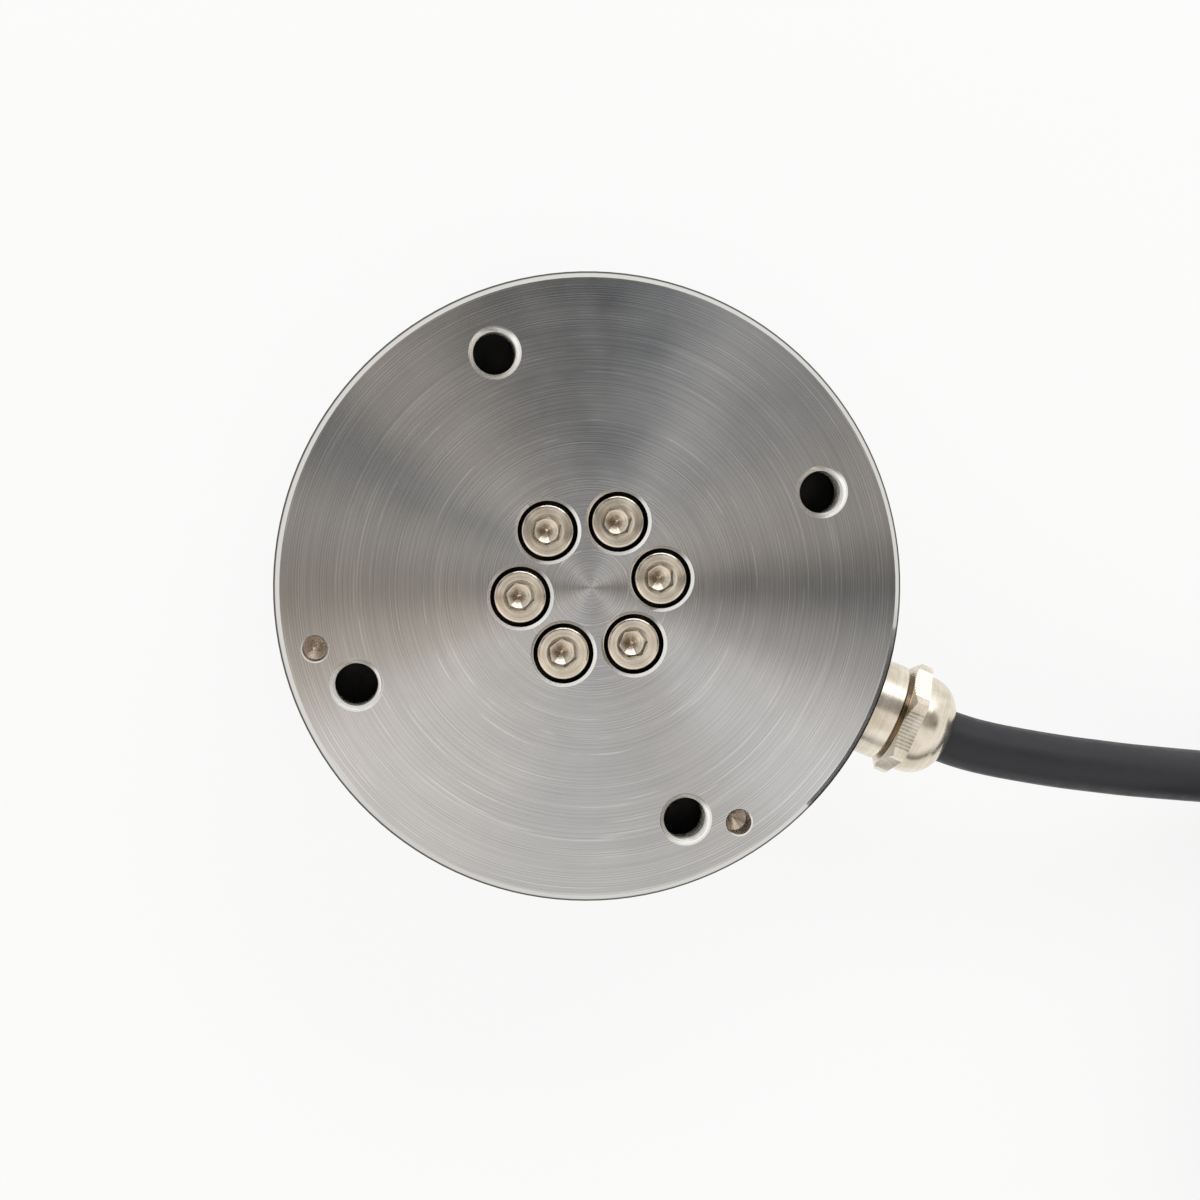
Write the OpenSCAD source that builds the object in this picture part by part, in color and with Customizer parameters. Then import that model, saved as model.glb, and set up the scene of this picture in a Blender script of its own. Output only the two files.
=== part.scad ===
// Six-axis force torque sensor: turned steel measuring body with a cross-beam
// spider, a tool flange on its hub, amplifier board, cable gland and cable.
// Millimetres. +Z points out of the tool face and the origin is the centre of
// the robot-side face. The cable leaves along +X.

/* [Flange and body] */
// Outside diameter of the tool flange and of the measuring body
body_d = 100; // [96:1:125]
// Height of the measuring body, robot face to upper rim
body_h = 30.2; // [30.2:0.2:45]
// Thickness of the tool flange
flange_t = 9; // [8:0.5:12]
// Free gap between the flange and the rim of the body
flange_gap = 0.8; // [0.6:0.1:1.6]
// Chamfer round the tool face
face_chamfer = 1; // [0.5:0.1:2]
// Chamfer on the other outside edges
edge_chamfer = 0.5; // [0.2:0.1:1]

/* [Fixing holes] */
// Bolt circle of the four fixing threads, the same on both faces
mount_pcd = 80; // [78:0.5:82]
// Nominal diameter of the threads; their ridges reach in to the core
mount_thread_d = 8; // [6:1:8]
// Core diameter of the threads, as drilled
mount_core_d = 6.8; // [5:0.1:6.8]
// Mouth diameter of the threads
mount_mouth_d = 8.4; // [8.2:0.1:9]
// Depth of the threads in the robot face
mount_depth = 10; // [8:0.5:10]
// Diameter of the dowel holes
dowel_d = 4; // [3:0.5:5]
// Distance of the dowel holes from the axis
dowel_r = 44.5; // [44:0.5:45]
// Depth of the dowel holes
dowel_depth = 6; // [4:0.5:6.5]
// Angle between a dowel hole and the thread beside it
dowel_step = 10; // [9:0.5:12]
// Diameter of the centring recess in the robot face
pilot_d = 68; // [66:0.5:70]
// Depth of the centring recess
pilot_depth = 2.5; // [2:0.5:3]

/* [Hub and its screws] */
// Diameter of the hub
hub_d = 34; // [33:0.5:36]
// Boss under the flange that stands on the hub
hub_boss_h = 2; // [1.5:0.5:3]
// Bolt circle of the hub screws
hub_pcd = 22.6; // [22:0.1:24]
// Number of hub screws
hub_screws_n = 6; // [4:1:6]
// Thread diameter of the hub screws
hub_thread_d = 5; // [4:0.5:5]
// Head diameter of the hub screws
hub_head_d = 8.5; // [7:0.1:8.7]
// Head height of the hub screws
hub_head_h = 5; // [4:0.1:5.5]
// Width across the flats of the hub screws' sockets
hub_socket_af = 4; // [3:0.5:4.5]
// Length of the hub screws under the head
hub_screw_l = 12; // [10:1:14]
// How far the heads lie below the tool face
hub_head_sink = 0.6; // [0.3:0.1:1]
// Diameter of the centring spigot between the hub and the flange
spigot_d = 12; // [10:0.5:12]
// Height of that spigot
spigot_h = 1.5; // [1:0.1:2]

/* [Sensing spider] */
// Width of each beam
beam_w = 7; // [5:0.5:9]
// Height of each beam
beam_h = 8; // [6:0.5:8.5]
// Thickness of the thin leaf that carries each beam's outer end
leaf_t = 1.3; // [1:0.1:2]
// Half length of each leaf
leaf_half = 12; // [10:0.5:12.5]
// Distance of a leaf's outer face from the axis
leaf_r = 33; // [32:0.5:34]
// Width of the slot behind each leaf
slot_w = 2; // [1.5:0.1:2.5]
// Bore of the ring between the beams
ring_bore_d = 53; // [50:0.5:54]
// Fillet where a beam meets the hub and the leaf
beam_fillet = 2; // [1:0.1:2.5]
// Free height over and under the beams
beam_air = 1; // [0.8:0.1:2]
// Thickness of the ring above the beams' upper face
ring_over = 2; // [1.5:0.5:3]

/* [Covers and seals] */
// Thickness of the bottom cover
bottom_cover_t = 2; // [1.5:0.5:3]
// Diameter of the bottom cover
bottom_cover_d = 66; // [65:0.5:66.5]
// Thickness of the flat gasket over the bottom cover
gasket_t = 0.5; // [0.3:0.1:1]
// Thickness of the cavity cover
cavity_cover_t = 1.2; // [1:0.1:1.5]
// Bore of the cavity cover, round the hub
cavity_cover_bore = 37; // [36.5:0.5:39]
// Thickness of the body's wall beside the cavity
wall_t = 7.5; // [7:0.5:8]
// Thickness of the wall outside the cavity cover
rim_t = 3; // [2.5:0.5:3.5]
// Width of the foam ring in the gap under the flange
seal_w = 4.5; // [3:0.5:5]
// Depth below the tool face of the wells that take long tool screws
well_drop = 14.5; // [13:0.5:15]
// Wall thickness of the wells
well_wall = 0.8; // [0.6:0.1:1]

/* [Amplifier board] */
// Thickness of the board
board_t = 1.6; // [1:0.2:2]
// Tallest part on the board's upper side
chip_h = 1.2; // [0.8:0.1:1.5]
// Free space round the board
board_air = 0.5; // [0.3:0.1:1]
// Width across the flats of the board's standoffs
standoff_af = 4; // [3.5:0.5:5]
// Distance of the standoffs from the axis
standoff_r = 38; // [37.5:0.5:38.5]

/* [Cable gland] */
// Depth of the gland's axis below the top of the body
gland_drop = 8.7; // [8.7:0.1:9.2]
// Thread diameter of the gland
gland_thread_d = 14; // [12.5:0.5:14.5]
// Diameter of the gland's collar
collar_d = 16.4; // [16:0.1:18]
// Length of the gland from the body to its collar's outer end
collar_l = 7.4; // [5:0.1:9]
// Width across the flats of the gland nut
nut_af = 17; // [16.5:0.5:20]
// Length of the nut's hexagon
nut_hex_l = 3; // [2.5:0.1:6]
// Gap between the collar and the nut
nut_gap = 0.6; // [0.3:0.1:1]
// Number of fine ribs across each of the nut's flats
nut_ribs = 11; // [5:1:15]
// Diameter of the nut's dome
dome_d = 16.8; // [16:0.1:19]
// Length of the dome
dome_l = 6.6; // [5.5:0.1:9]

/* [Cable and plug] */
// Diameter of the cable
cable_d = 9; // [7:0.5:9]
// Diameter of the innermost turns of the coil, at the cable's centre
coil_inner_d = 88; // [74:0.2:92]
// Turns side by side in each layer of the coil
coil_turns = 2; // [2:1:4]
// Layers of the coil
coil_layers = 3; // [2:1:3]
// Distance between neighbouring turns
coil_pitch = 9.2; // [9.1:0.1:9.6]
// Thickness of the ties round the coil
tie_t = 1; // [0.8:0.1:1.5]
// Width of the ties
tie_w = 12; // [8:1:20]
// Diameter of the plug's coupling ring
plug_ring_d = 18.6; // [17:0.2:20]
// Diameter of the plug's shell
plug_shell_d = 16; // [14:0.5:16.5]

/* [Hidden] */

$fn = 96;
eps = 0.01;
slip = 0.05;              // radial clearance of covers, boards and cores
screw_slip = 0.05;        // radial clearance of a screw in its thread
tip_angle = 118;          // point angle of a drill
beam_angles = [0, 90, 180, 270];

body_r = body_d / 2;
hub_r = hub_d / 2;
face_z = body_h + flange_gap + flange_t;
flange_z = body_h + flange_gap;
boss_z = flange_z - hub_boss_h;
cover_z = body_h - cavity_cover_t;
shelf_z = pilot_depth + bottom_cover_t + gasket_t;
beam_z = pilot_depth + bottom_cover_t + beam_air;
floor_z = beam_z + beam_h + ring_over;
wall_r = body_r - wall_t;
rim_r = body_r - rim_t;
gland_z = body_h - gland_drop;
mount_r = mount_pcd / 2;
mount_run_out = 1.5;      // drilled on past the full threads
mount_angles = [45, 135, 225, 315];
dowel_angles = [225 - dowel_step, 315 + dowel_step];

// Hub screws
hub_seat_z = face_z - hub_head_sink - hub_head_h;
hub_counterbore_d = hub_head_d + 1.1;
hub_mouth_d = hub_counterbore_d + 1;
hub_hole_d = hub_thread_d + 0.5;
hub_tap_depth = hub_screw_l - (hub_seat_z - boss_z) + 1.5;
hub_screw_angles = [for (i = [0:hub_screws_n - 1]) 30 + 360 * i / hub_screws_n];
socket_turns = [25, 5, 15, 40, 30, 0];

// Bottom cover screws, M3 countersunk
cover_screw_d = 3;
cover_screw_head_d = 5.6;
cover_screw_r = 29.6;
cover_screw_l = 8;
cover_screw_angles = mount_angles;

// Cavity cover screws, M2 countersunk
lid_screw_d = 2;
lid_screw_head_d = 3.6;
lid_screw_l = 5;
lid_screw_r = (wall_r + rim_r) / 2;
lid_screw_angles = [for (i = [0:7]) 22.5 + 45 * i];

// Board
board_z = cover_z - board_air - chip_h - board_t;
board_out_r = wall_r - 1;
well_d = mount_thread_d + 0.6;
well_out_d = well_d + 2 * well_wall;
well_z = face_z - well_drop;
well_air = 0.3;
gate_mark_d = 2;          // left on the bottom of each well by the mould
gate_mark_h = 0.4;
board_in_r = hub_r + 2.5;
board_notch_w = gland_thread_d + 2;
board_notch_r = board_out_r - 5;
standoff_angles = [30, 150, 210, 330];
board_screw_d = 2;
board_screw_head_d = 3.8;
board_screw_head_h = 1.1;
board_screw_l = 4;
socket_h = 3;
socket_r = hub_r + 5.5;
header_l = 6;
header_w = 14;
header_h = 5;
header_x = board_notch_r - 10;

// Gauges and their leads
gauge_t = 0.15;
gauge_l = 5;
gauge_w = 3;
gauge_x = 24.5;
lead_t = 0.2;
lead_w = 5;
lead_bend = 1.5;

// Gland
collar_spot_d = collar_d + 0.6;
spot_x = sqrt(body_r * body_r - collar_spot_d * collar_spot_d / 4) - 0.05;
collar_x = spot_x + collar_l;
nut_x = collar_x + nut_gap;
dome_x = nut_x + nut_hex_l;
mouth_x = dome_x + dome_l;
stub_x = wall_r - 0.8;
port_x = stub_x - 0.2;
seal_ring_t = 1;
nut_turn = 40;
nut_rib_pitch = 0.62;
nut_rib_h = 0.15;
gland_bore_d = cable_d + 0.6;
gland_seal_d = cable_d + 2;
claw_d = gland_seal_d + 2 * slip + 0.9;
claw_l = 6.2;
claw_x = collar_x + 0.4;
back_thread_d = claw_d + 2.4;
back_x = collar_x + 5.2;
mouth_d = cable_d + 0.8;
jacket_x = stub_x - 3.2;
core_d = 1.2;
core_n = 6;

// Cable: hand-laid centre line from the gland to the coil's lead, and steps from the
// coil's other lead to the plug, with their heights over the floor
cable_r = cable_d / 2;
tube_sides = 12;
route = [[71, 0.3, 21.5], [75, 0.9, 21.5], [79, 1.7, 21.4], [84, 2.8, 21.2], [89, 4, 20.7],
  [94, 5.3, 19.9], [99, 6.6, 18.8], [104, 8, 17.3], [109, 9.4, 15.5], [114.5, 10.95, 13.3],
  [120, 12.5, 11], [125.5, 14.45, 8.8], [131, 16.95, 6.95], [135.5, 19.3, 6.05]];
coil_start = [139.2, 21.3];
coil_in_angle = 118;
coil_out_angle = 128;
tail = [[9.15, 5.55, 23.3], [19.35, 8.75, 21.2], [30, 9.5, 18.3], [40.55, 7.65, 15.1],
  [50.35, 3.45, 12.2], [58.9, -3, 10.1], [65.65, -11.3, 9.3]];
plug_turn = -57.5;

coil_in_r = coil_inner_d / 2;
coil_out_r = coil_in_r + (coil_turns - 1) * coil_pitch;
coil_slack = 0.2;         // looseness of the turns in the bundle's outline
coil_low_z = tie_t + coil_slack + cable_r;
coil_top_z = coil_low_z + (coil_layers - 1) * coil_pitch;
bundle_low = [coil_in_r - cable_r - coil_slack, tie_t];
bundle_high = [coil_out_r + cable_r + coil_slack, coil_top_z + cable_r + coil_slack];
coil_lead = sqrt(pow(coil_out_r + cable_d + 2 * coil_slack, 2) - pow(coil_out_r, 2)) + 0.3;
coil_centre = [coil_start.x, coil_start.y, 0] + coil_lead * heading(coil_in_angle - 90)
  - coil_out_r * heading(coil_in_angle);
lead_in_end = [coil_start.x, coil_start.y, coil_low_z];
lead_out_end = coil_centre + coil_out_r * heading(coil_out_angle)
  + coil_lead * heading(coil_out_angle - 90) + [0, 0, coil_top_z];
tail_line = [for (p = tail) [lead_out_end.x + p.x, lead_out_end.y + p.y, p.z]];

tie_angles = [230, 330];
tie_turn = tie_w / (coil_in_r + coil_out_r) * 360 / PI;

// Plug, measured along its own axis from the back of the boot
plug_at = tail_line[len(tail) - 1];
plug_dir = heading(plug_turn);
boot_l = 18;
shell_l = 26;
shell_web = 4;
shell_bore = plug_shell_d - 4;
insert_z = 30;
insert_l = 15;
ring_z = 34;
ring_l = 18;
knurl_n = 24;
pin_n = 8;
pin_d = 1;
pin_circle = 8;
pin_z = 33;
pin_l = 17;

// ---------- helpers ----------

// Places children at a radius and at each angle of a list
module around(angles, r) for (a = angles) rotate(a) translate([r, 0, 0]) children();

// A drilled hole: a cylinder from the mouth down, ending in the drill's cone
module drilled(d, depth) {
  tip = d / 2 / tan(tip_angle / 2);
  translate([0, 0, -depth]) cylinder(d = d, h = depth + eps);
  translate([0, 0, -depth - tip]) cylinder(d1 = 0, d2 = d, h = tip + eps);
}

// A 45 degree mouth, widening from d at a depth to mouth at the surface
module mouth(d, mouth) {
  h = (mouth - d) / 2;
  translate([0, 0, -h]) cylinder(d1 = d, d2 = mouth + 2 * eps, h = h + eps);
}

// A straight rod between two points
module rod(p, q, r) {
  v = q - p;
  translate(p) rotate([0, acos(v.z / norm(v)), atan2(v.y, v.x)])
    cylinder(r = r, h = norm(v), $fn = 24);
}

// A socket head cap screw, pointing down, its seat at the origin
module cap_screw(d, l, head_d, head_h, socket_af, turn) {
  round_r = 0.5;
  point = 0.4;
  socket_r = socket_af / 2 / cos(30);
  socket_depth = 2.5;
  core_r = socket_af / 2 - 0.1;
  difference() {
    rotate_extrude() {
      polygon([[0, -l], [d / 2 - point, -l], [d / 2, point - l], [d / 2, 0], [head_d / 2, 0],
        [head_d / 2, head_h - round_r], [head_d / 2 - round_r, head_h - round_r],
        [head_d / 2 - round_r, head_h], [0, head_h]]);
      translate([head_d / 2 - round_r, head_h - round_r]) intersection() {
        circle(round_r, $fn = 48);
        square(round_r);
      }
    }
    translate([0, 0, head_h - socket_depth]) rotate(turn)
      cylinder(r = socket_r, h = socket_depth + 1, $fn = 6);
    translate([0, 0, head_h - socket_depth - 1]) cylinder(r1 = 0, r2 = core_r, h = 1 + eps);
    translate([0, 0, head_h]) mouth(2 * core_r, 2 * socket_r + 0.7);
  }
}

// A countersunk screw, pointing down, its flat top at the origin
module flat_screw(d, l, head_d) {
  head_h = (head_d - d) / 2;
  slot_w = d / 4;
  difference() {
    union() {
      translate([0, 0, -l]) cylinder(d = d, h = l - head_h + eps);
      translate([0, 0, -head_h - 0.2]) cylinder(d1 = d, d2 = head_d, h = head_h);
      translate([0, 0, -0.2 - eps]) cylinder(d = head_d, h = 0.2 + eps);
    }
    for (a = [0, 90]) rotate(a)
      translate([-head_d * 0.3, -slot_w / 2, -d / 3]) cube([head_d * 0.6, slot_w, d]);
  }
}

// The hole that a countersunk screw seats in, through a sheet of thickness t
module flat_screw_seat(d, t, head_d) {
  head_h = (head_d - d) / 2;
  translate([0, 0, -t - eps]) cylinder(d = d + 0.4, h = t + 2 * eps);
  translate([0, 0, -head_h - 0.2]) cylinder(d1 = d + 2 * slip, d2 = head_d + 2 * slip, h = head_h);
  translate([0, 0, -0.2 - eps]) cylinder(d = head_d + 2 * slip, h = 0.2 + 2 * eps);
}

// The 3-D rings of a tube swept along a path, with set directions at both ends
function unit(v) = v / norm(v);
function heading(a) = [cos(a), sin(a), 0];
function way(path, i, first, last) =
  i == 0 ? first : i == len(path) - 1 ? last : unit(path[i + 1] - path[i - 1]);
function ring_at(p, dir, r, n) =
  let (side = unit(cross([0, 0, 1], dir)), up = cross(dir, side))
  [for (k = [0:n - 1]) p + r * (cos(360 * k / n) * side + sin(360 * k / n) * up)];

module tube(path, r, n, first, last) {
  count = len(path);
  points = [for (i = [0:count - 1]) each ring_at(path[i], way(path, i, first, last), r, n)];
  sides = [for (i = [0:count - 2], k = [0:n - 1])
    let (a = i * n + k, b = i * n + (k + 1) % n) [a, a + n, b + n, b]];
  polyhedron(points, concat(sides,
    [[for (k = [0:n - 1]) k]],
    [[for (k = [n - 1:-1:0]) (count - 1) * n + k]]), convexity = 8);
}

// A rectangle with round corners, given by its two corners
module round_rect(low, high, r) {
  translate([low.x + r, low.y]) square([high.x - low.x - 2 * r, high.y - low.y]);
  translate([low.x, low.y + r]) square([high.x - low.x, high.y - low.y - 2 * r]);
  for (x = [low.x + r, high.x - r], y = [low.y + r, high.y - r])
    translate([x, y]) circle(r, $fn = 48);
}

// ---------- flange and hub screws ----------

module tool_flange() color([0.62, 0.62, 0.63]) difference() {
  union() {
    rotate_extrude($fn = 192) polygon([
      [0, flange_z], [body_r - edge_chamfer, flange_z], [body_r, flange_z + edge_chamfer],
      [body_r, face_z - face_chamfer], [body_r - face_chamfer, face_z], [0, face_z]]);
    translate([0, 0, boss_z]) cylinder(r = hub_r, h = hub_boss_h + eps);
  }
  around(mount_angles, mount_r) {
    translate([0, 0, flange_z - eps]) cylinder(d = mount_thread_d, h = flange_t + 2 * eps);
    translate([0, 0, face_z]) mouth(mount_thread_d, mount_mouth_d);
    translate([0, 0, flange_z]) mirror([0, 0, 1]) mouth(mount_thread_d, mount_mouth_d);
  }
  around(dowel_angles, dowel_r) translate([0, 0, face_z]) {
    drilled(dowel_d, dowel_depth);
    mouth(dowel_d, dowel_d + 0.4);
  }
  around(hub_screw_angles, hub_pcd / 2) {
    translate([0, 0, boss_z - eps]) cylinder(d = hub_hole_d, h = face_z - boss_z);
    translate([0, 0, hub_seat_z]) cylinder(d = hub_counterbore_d, h = face_z - hub_seat_z + eps);
    translate([0, 0, face_z]) mouth(hub_counterbore_d, hub_mouth_d);
  }
  translate([0, 0, boss_z - eps]) cylinder(d = spigot_d + 2 * slip, h = spigot_h + 0.5);
}

module hub_screws() color([0.80, 0.76, 0.68])
  for (i = [0:hub_screws_n - 1]) around([hub_screw_angles[i]], hub_pcd / 2)
    translate([0, 0, hub_seat_z])
      cap_screw(hub_thread_d, hub_screw_l, hub_head_d, hub_head_h, hub_socket_af, socket_turns[i]);

// ---------- measuring body: housing, ring, leaves, beams and hub in one piece ----------

// Outer ring and housing wall, turned
module body_ring() rotate_extrude($fn = 192) polygon([
  [pilot_d / 2 + edge_chamfer, 0], [body_r - edge_chamfer, 0], [body_r, edge_chamfer],
  [body_r, body_h - edge_chamfer], [body_r - edge_chamfer, body_h], [rim_r, body_h],
  [rim_r, cover_z], [wall_r, cover_z], [wall_r, floor_z], [ring_bore_d / 2, floor_z],
  [ring_bore_d / 2, shelf_z], [bottom_cover_d / 2 + slip, shelf_z],
  [bottom_cover_d / 2 + slip, pilot_depth], [pilot_d / 2, pilot_depth],
  [pilot_d / 2, edge_chamfer]]);

// Pocket in front of a leaf and slot behind it, seen from above, for the beam along +X
module leaf_cuts() {
  corner = 1.5;
  inner = leaf_r - leaf_t;
  round_rect([inner - 10, -leaf_half], [inner, leaf_half], corner);
  translate([leaf_r, -leaf_half]) square([slot_w, 2 * leaf_half]);
  for (y = [-leaf_half, leaf_half]) translate([leaf_r + slot_w / 2, y]) circle(slot_w / 2, $fn = 32);
}

// One beam from above: a bar with fillets at the hub and at the leaf
module beam_outline() {
  f = beam_fillet;
  half = beam_w / 2;
  inner = leaf_r - leaf_t;
  hub_x = sqrt(pow(hub_r + f, 2) - pow(half + f, 2));
  foot = hub_r * [hub_x, half + f] / (hub_r + f);
  translate([hub_r - 2, -half]) square([inner - hub_r + 2 + eps, beam_w]);
  for (s = [1, -1]) scale([1, s]) {
    difference() {
      translate([inner - f, half - eps]) square([f + eps, f + eps]);
      translate([inner - f, half + f]) circle(f, $fn = 48);
    }
    difference() {
      polygon([[hub_r - 2, half - eps], [hub_x, half - eps], [hub_x, half + f], foot, foot - [1, 0]]);
      translate([hub_x, half + f]) circle(f, $fn = 48);
    }
  }
}

module measuring_body() color([0.58, 0.58, 0.60]) difference() {
  union() {
    difference() {
      body_ring();
      for (a = beam_angles) rotate(a) translate([0, 0, shelf_z])
        linear_extrude(floor_z - shelf_z + eps) leaf_cuts();
    }
    for (a = beam_angles) rotate(a) translate([0, 0, beam_z])
      linear_extrude(beam_h) beam_outline();
    translate([0, 0, beam_z]) cylinder(r = hub_r, h = boss_z - beam_z);
    translate([0, 0, boss_z - eps]) cylinder(d = spigot_d, h = spigot_h);
  }
  // threads and dowel holes in the robot face
  around(mount_angles, mount_r) mirror([0, 0, 1]) {
    drilled(mount_core_d, mount_depth + mount_run_out);
    translate([0, 0, -mount_depth]) cylinder(d = mount_thread_d, h = mount_depth + eps);
    mouth(mount_thread_d, mount_mouth_d);
  }
  around(dowel_angles, dowel_r) mirror([0, 0, 1]) {
    drilled(dowel_d, dowel_depth);
    mouth(dowel_d, dowel_d + 0.4);
  }
  // threads for the hub, cover and standoff screws
  around(hub_screw_angles, hub_pcd / 2)
    translate([0, 0, boss_z]) drilled(hub_thread_d + 2 * screw_slip, hub_tap_depth);
  around(cover_screw_angles, cover_screw_r) translate([0, 0, shelf_z]) mirror([0, 0, 1])
    drilled(cover_screw_d + 2 * screw_slip, cover_screw_l - bottom_cover_t);
  around(lid_screw_angles, lid_screw_r) translate([0, 0, cover_z])
    drilled(lid_screw_d + 2 * screw_slip, lid_screw_l - cavity_cover_t + 0.5);
  around(standoff_angles, standoff_r) translate([0, 0, floor_z])
    drilled(board_screw_d + 2 * screw_slip, 3.5);
  // pockets for the cover's wells
  around(mount_angles, mount_r) translate([0, 0, well_z - well_wall - well_air])
    cylinder(d = well_out_d + 2 * well_air, h = cover_z - well_z + well_wall + well_air + eps);
  // gland port: spot face and thread
  translate([spot_x, 0, gland_z]) rotate([0, 90, 0]) cylinder(d = collar_spot_d, h = 5);
  translate([port_x, 0, gland_z]) rotate([0, 90, 0])
    cylinder(d = gland_thread_d + 2 * screw_slip, h = body_r - port_x);
}

// Foil gauges: one on each side of each beam
module strain_gauges() color([0.78, 0.55, 0.25])
  for (a = beam_angles) rotate(a) {
    for (z = [beam_z - gauge_t, beam_z + beam_h])
      translate([gauge_x, -gauge_w / 2, z]) cube([gauge_l, gauge_w, gauge_t]);
    for (y = [-beam_w / 2 - gauge_t, beam_w / 2])
      translate([gauge_x, y, beam_z + (beam_h - gauge_w) / 2]) cube([gauge_l, gauge_t, gauge_w]);
  }

// Flat leads, from the gauge up to the socket under the board
module gauge_leads() color([0.85, 0.55, 0.15]) {
  rise_x = socket_r - lead_t / 2;
  top = beam_z + beam_h;
  for (a = beam_angles) rotate(a) translate([0, lead_w / 2, 0]) rotate([90, 0, 0])
    linear_extrude(lead_w) {
      translate([rise_x + lead_bend, top]) square([gauge_x - rise_x - lead_bend, lead_t]);
      translate([rise_x, top + lead_bend]) square([lead_t, board_z - socket_h - top - lead_bend]);
      intersection() {
        translate([rise_x, top]) square(lead_bend + eps);
        translate([rise_x + lead_bend, top + lead_bend]) difference() {
          circle(lead_bend, $fn = 48);
          circle(lead_bend - lead_t, $fn = 48);
        }
      }
    }
}

// ---------- covers and seals ----------

module bottom_gasket() color([0.12, 0.12, 0.13]) difference() {
  translate([0, 0, shelf_z - gasket_t]) cylinder(d = bottom_cover_d, h = gasket_t);
  translate([0, 0, shelf_z - gasket_t - eps])
    cylinder(d = ring_bore_d + 1, h = gasket_t + 2 * eps);
  around(cover_screw_angles, cover_screw_r) cylinder(d = cover_screw_d + 0.4, h = shelf_z + 1);
}

module bottom_cover() color([0.55, 0.55, 0.57]) difference() {
  translate([0, 0, pilot_depth]) cylinder(d = bottom_cover_d, h = bottom_cover_t);
  around(cover_screw_angles, cover_screw_r) translate([0, 0, pilot_depth]) mirror([0, 0, 1])
    flat_screw_seat(cover_screw_d, bottom_cover_t, cover_screw_head_d);
}

module bottom_cover_screws() color([0.72, 0.72, 0.73])
  around(cover_screw_angles, cover_screw_r) translate([0, 0, pilot_depth]) mirror([0, 0, 1])
    flat_screw(cover_screw_d, cover_screw_l, cover_screw_head_d);

// Moulded cover with a well under each of the flange's threads
module cavity_cover() color([0.05, 0.05, 0.055]) difference() {
  union() {
    translate([0, 0, cover_z]) cylinder(r = rim_r - slip, h = cavity_cover_t);
    around(mount_angles, mount_r) translate([0, 0, well_z - well_wall])
      cylinder(d = well_out_d, h = cover_z + eps - well_z + well_wall);
  }
  around(mount_angles, mount_r) translate([0, 0, well_z]) difference() {
    cylinder(d = well_d, h = body_h - well_z + eps);
    translate([0, 0, -eps]) cylinder(d = gate_mark_d, h = gate_mark_h + eps);
  }
  translate([0, 0, cover_z - eps]) cylinder(d = cavity_cover_bore, h = cavity_cover_t + 2 * eps);
  around(lid_screw_angles, lid_screw_r) translate([0, 0, body_h])
    flat_screw_seat(lid_screw_d, cavity_cover_t, lid_screw_head_d);
}

module cavity_cover_screws() color([0.10, 0.10, 0.11])
  around(lid_screw_angles, lid_screw_r) translate([0, 0, body_h])
    flat_screw(lid_screw_d, lid_screw_l, lid_screw_head_d);

module dust_seal() color([0.03, 0.03, 0.03]) difference() {
  outer = body_r - 1.5;
  translate([0, 0, body_h]) cylinder(r = outer, h = flange_gap);
  translate([0, 0, body_h - eps]) cylinder(r = outer - seal_w, h = flange_gap + 2 * eps);
}

// ---------- amplifier board ----------

module amplifier_board() color([0.05, 0.32, 0.18])
  translate([0, 0, board_z]) linear_extrude(board_t) difference() {
    circle(board_out_r);
    circle(board_in_r);
    translate([board_notch_r, -board_notch_w / 2]) square([board_out_r, board_notch_w]);
    around(standoff_angles, standoff_r) circle(d = board_screw_d + 0.3);
    around(mount_angles, mount_r) circle(d = well_out_d + 2 * board_air);
  }

// Converter, amplifiers and small parts on the upper side
module board_chips() color([0.07, 0.07, 0.08]) translate([0, 0, board_z + board_t]) {
  rotate(180) translate([27, -4.5, 0]) cube([9, 9, chip_h]);
  for (a = [50, 75, 105, 130, 230, 255, 285, 310]) rotate(a)
    translate([27, -2.5, 0]) cube([4, 5, chip_h]);
  for (a = [20:10:340]) rotate(a) translate([23, -0.6, 0]) cube([1.6, 1.2, 0.6]);
  for (a = [62, 118, 242, 298]) rotate(a) translate([35, -1.6, 0]) cube([3, 3.2, chip_h - 0.2]);
}

module lead_sockets() color([0.88, 0.86, 0.78])
  for (a = beam_angles) rotate(a)
    translate([socket_r - 1.5, -lead_w / 2 - 1.5, board_z - socket_h])
      cube([3, lead_w + 3, socket_h]);

module cable_header() color([0.90, 0.88, 0.80])
  translate([header_x, -header_w / 2, board_z - header_h]) cube([header_l, header_w, header_h]);

module board_standoffs() color([0.78, 0.66, 0.35])
  around(standoff_angles, standoff_r) difference() {
    union() {
      translate([0, 0, floor_z])
        cylinder(r = standoff_af / 2 / cos(30), h = board_z - floor_z, $fn = 6);
      translate([0, 0, floor_z - 3]) cylinder(d = board_screw_d, h = 3 + eps);
    }
    translate([0, 0, board_z]) drilled(board_screw_d + 2 * screw_slip, board_screw_l - board_t + 0.5);
  }

module board_screws() color([0.75, 0.75, 0.76])
  around(standoff_angles, standoff_r) translate([0, 0, board_z + board_t]) difference() {
    union() {
      translate([0, 0, -board_screw_l]) cylinder(d = board_screw_d, h = board_screw_l + eps);
      cylinder(d = board_screw_head_d, h = board_screw_head_h);
    }
    for (a = [0, 90]) rotate(a) translate([-1.1, -0.2, board_screw_head_h - 0.6]) cube([2.2, 0.4, 1]);
  }

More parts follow.
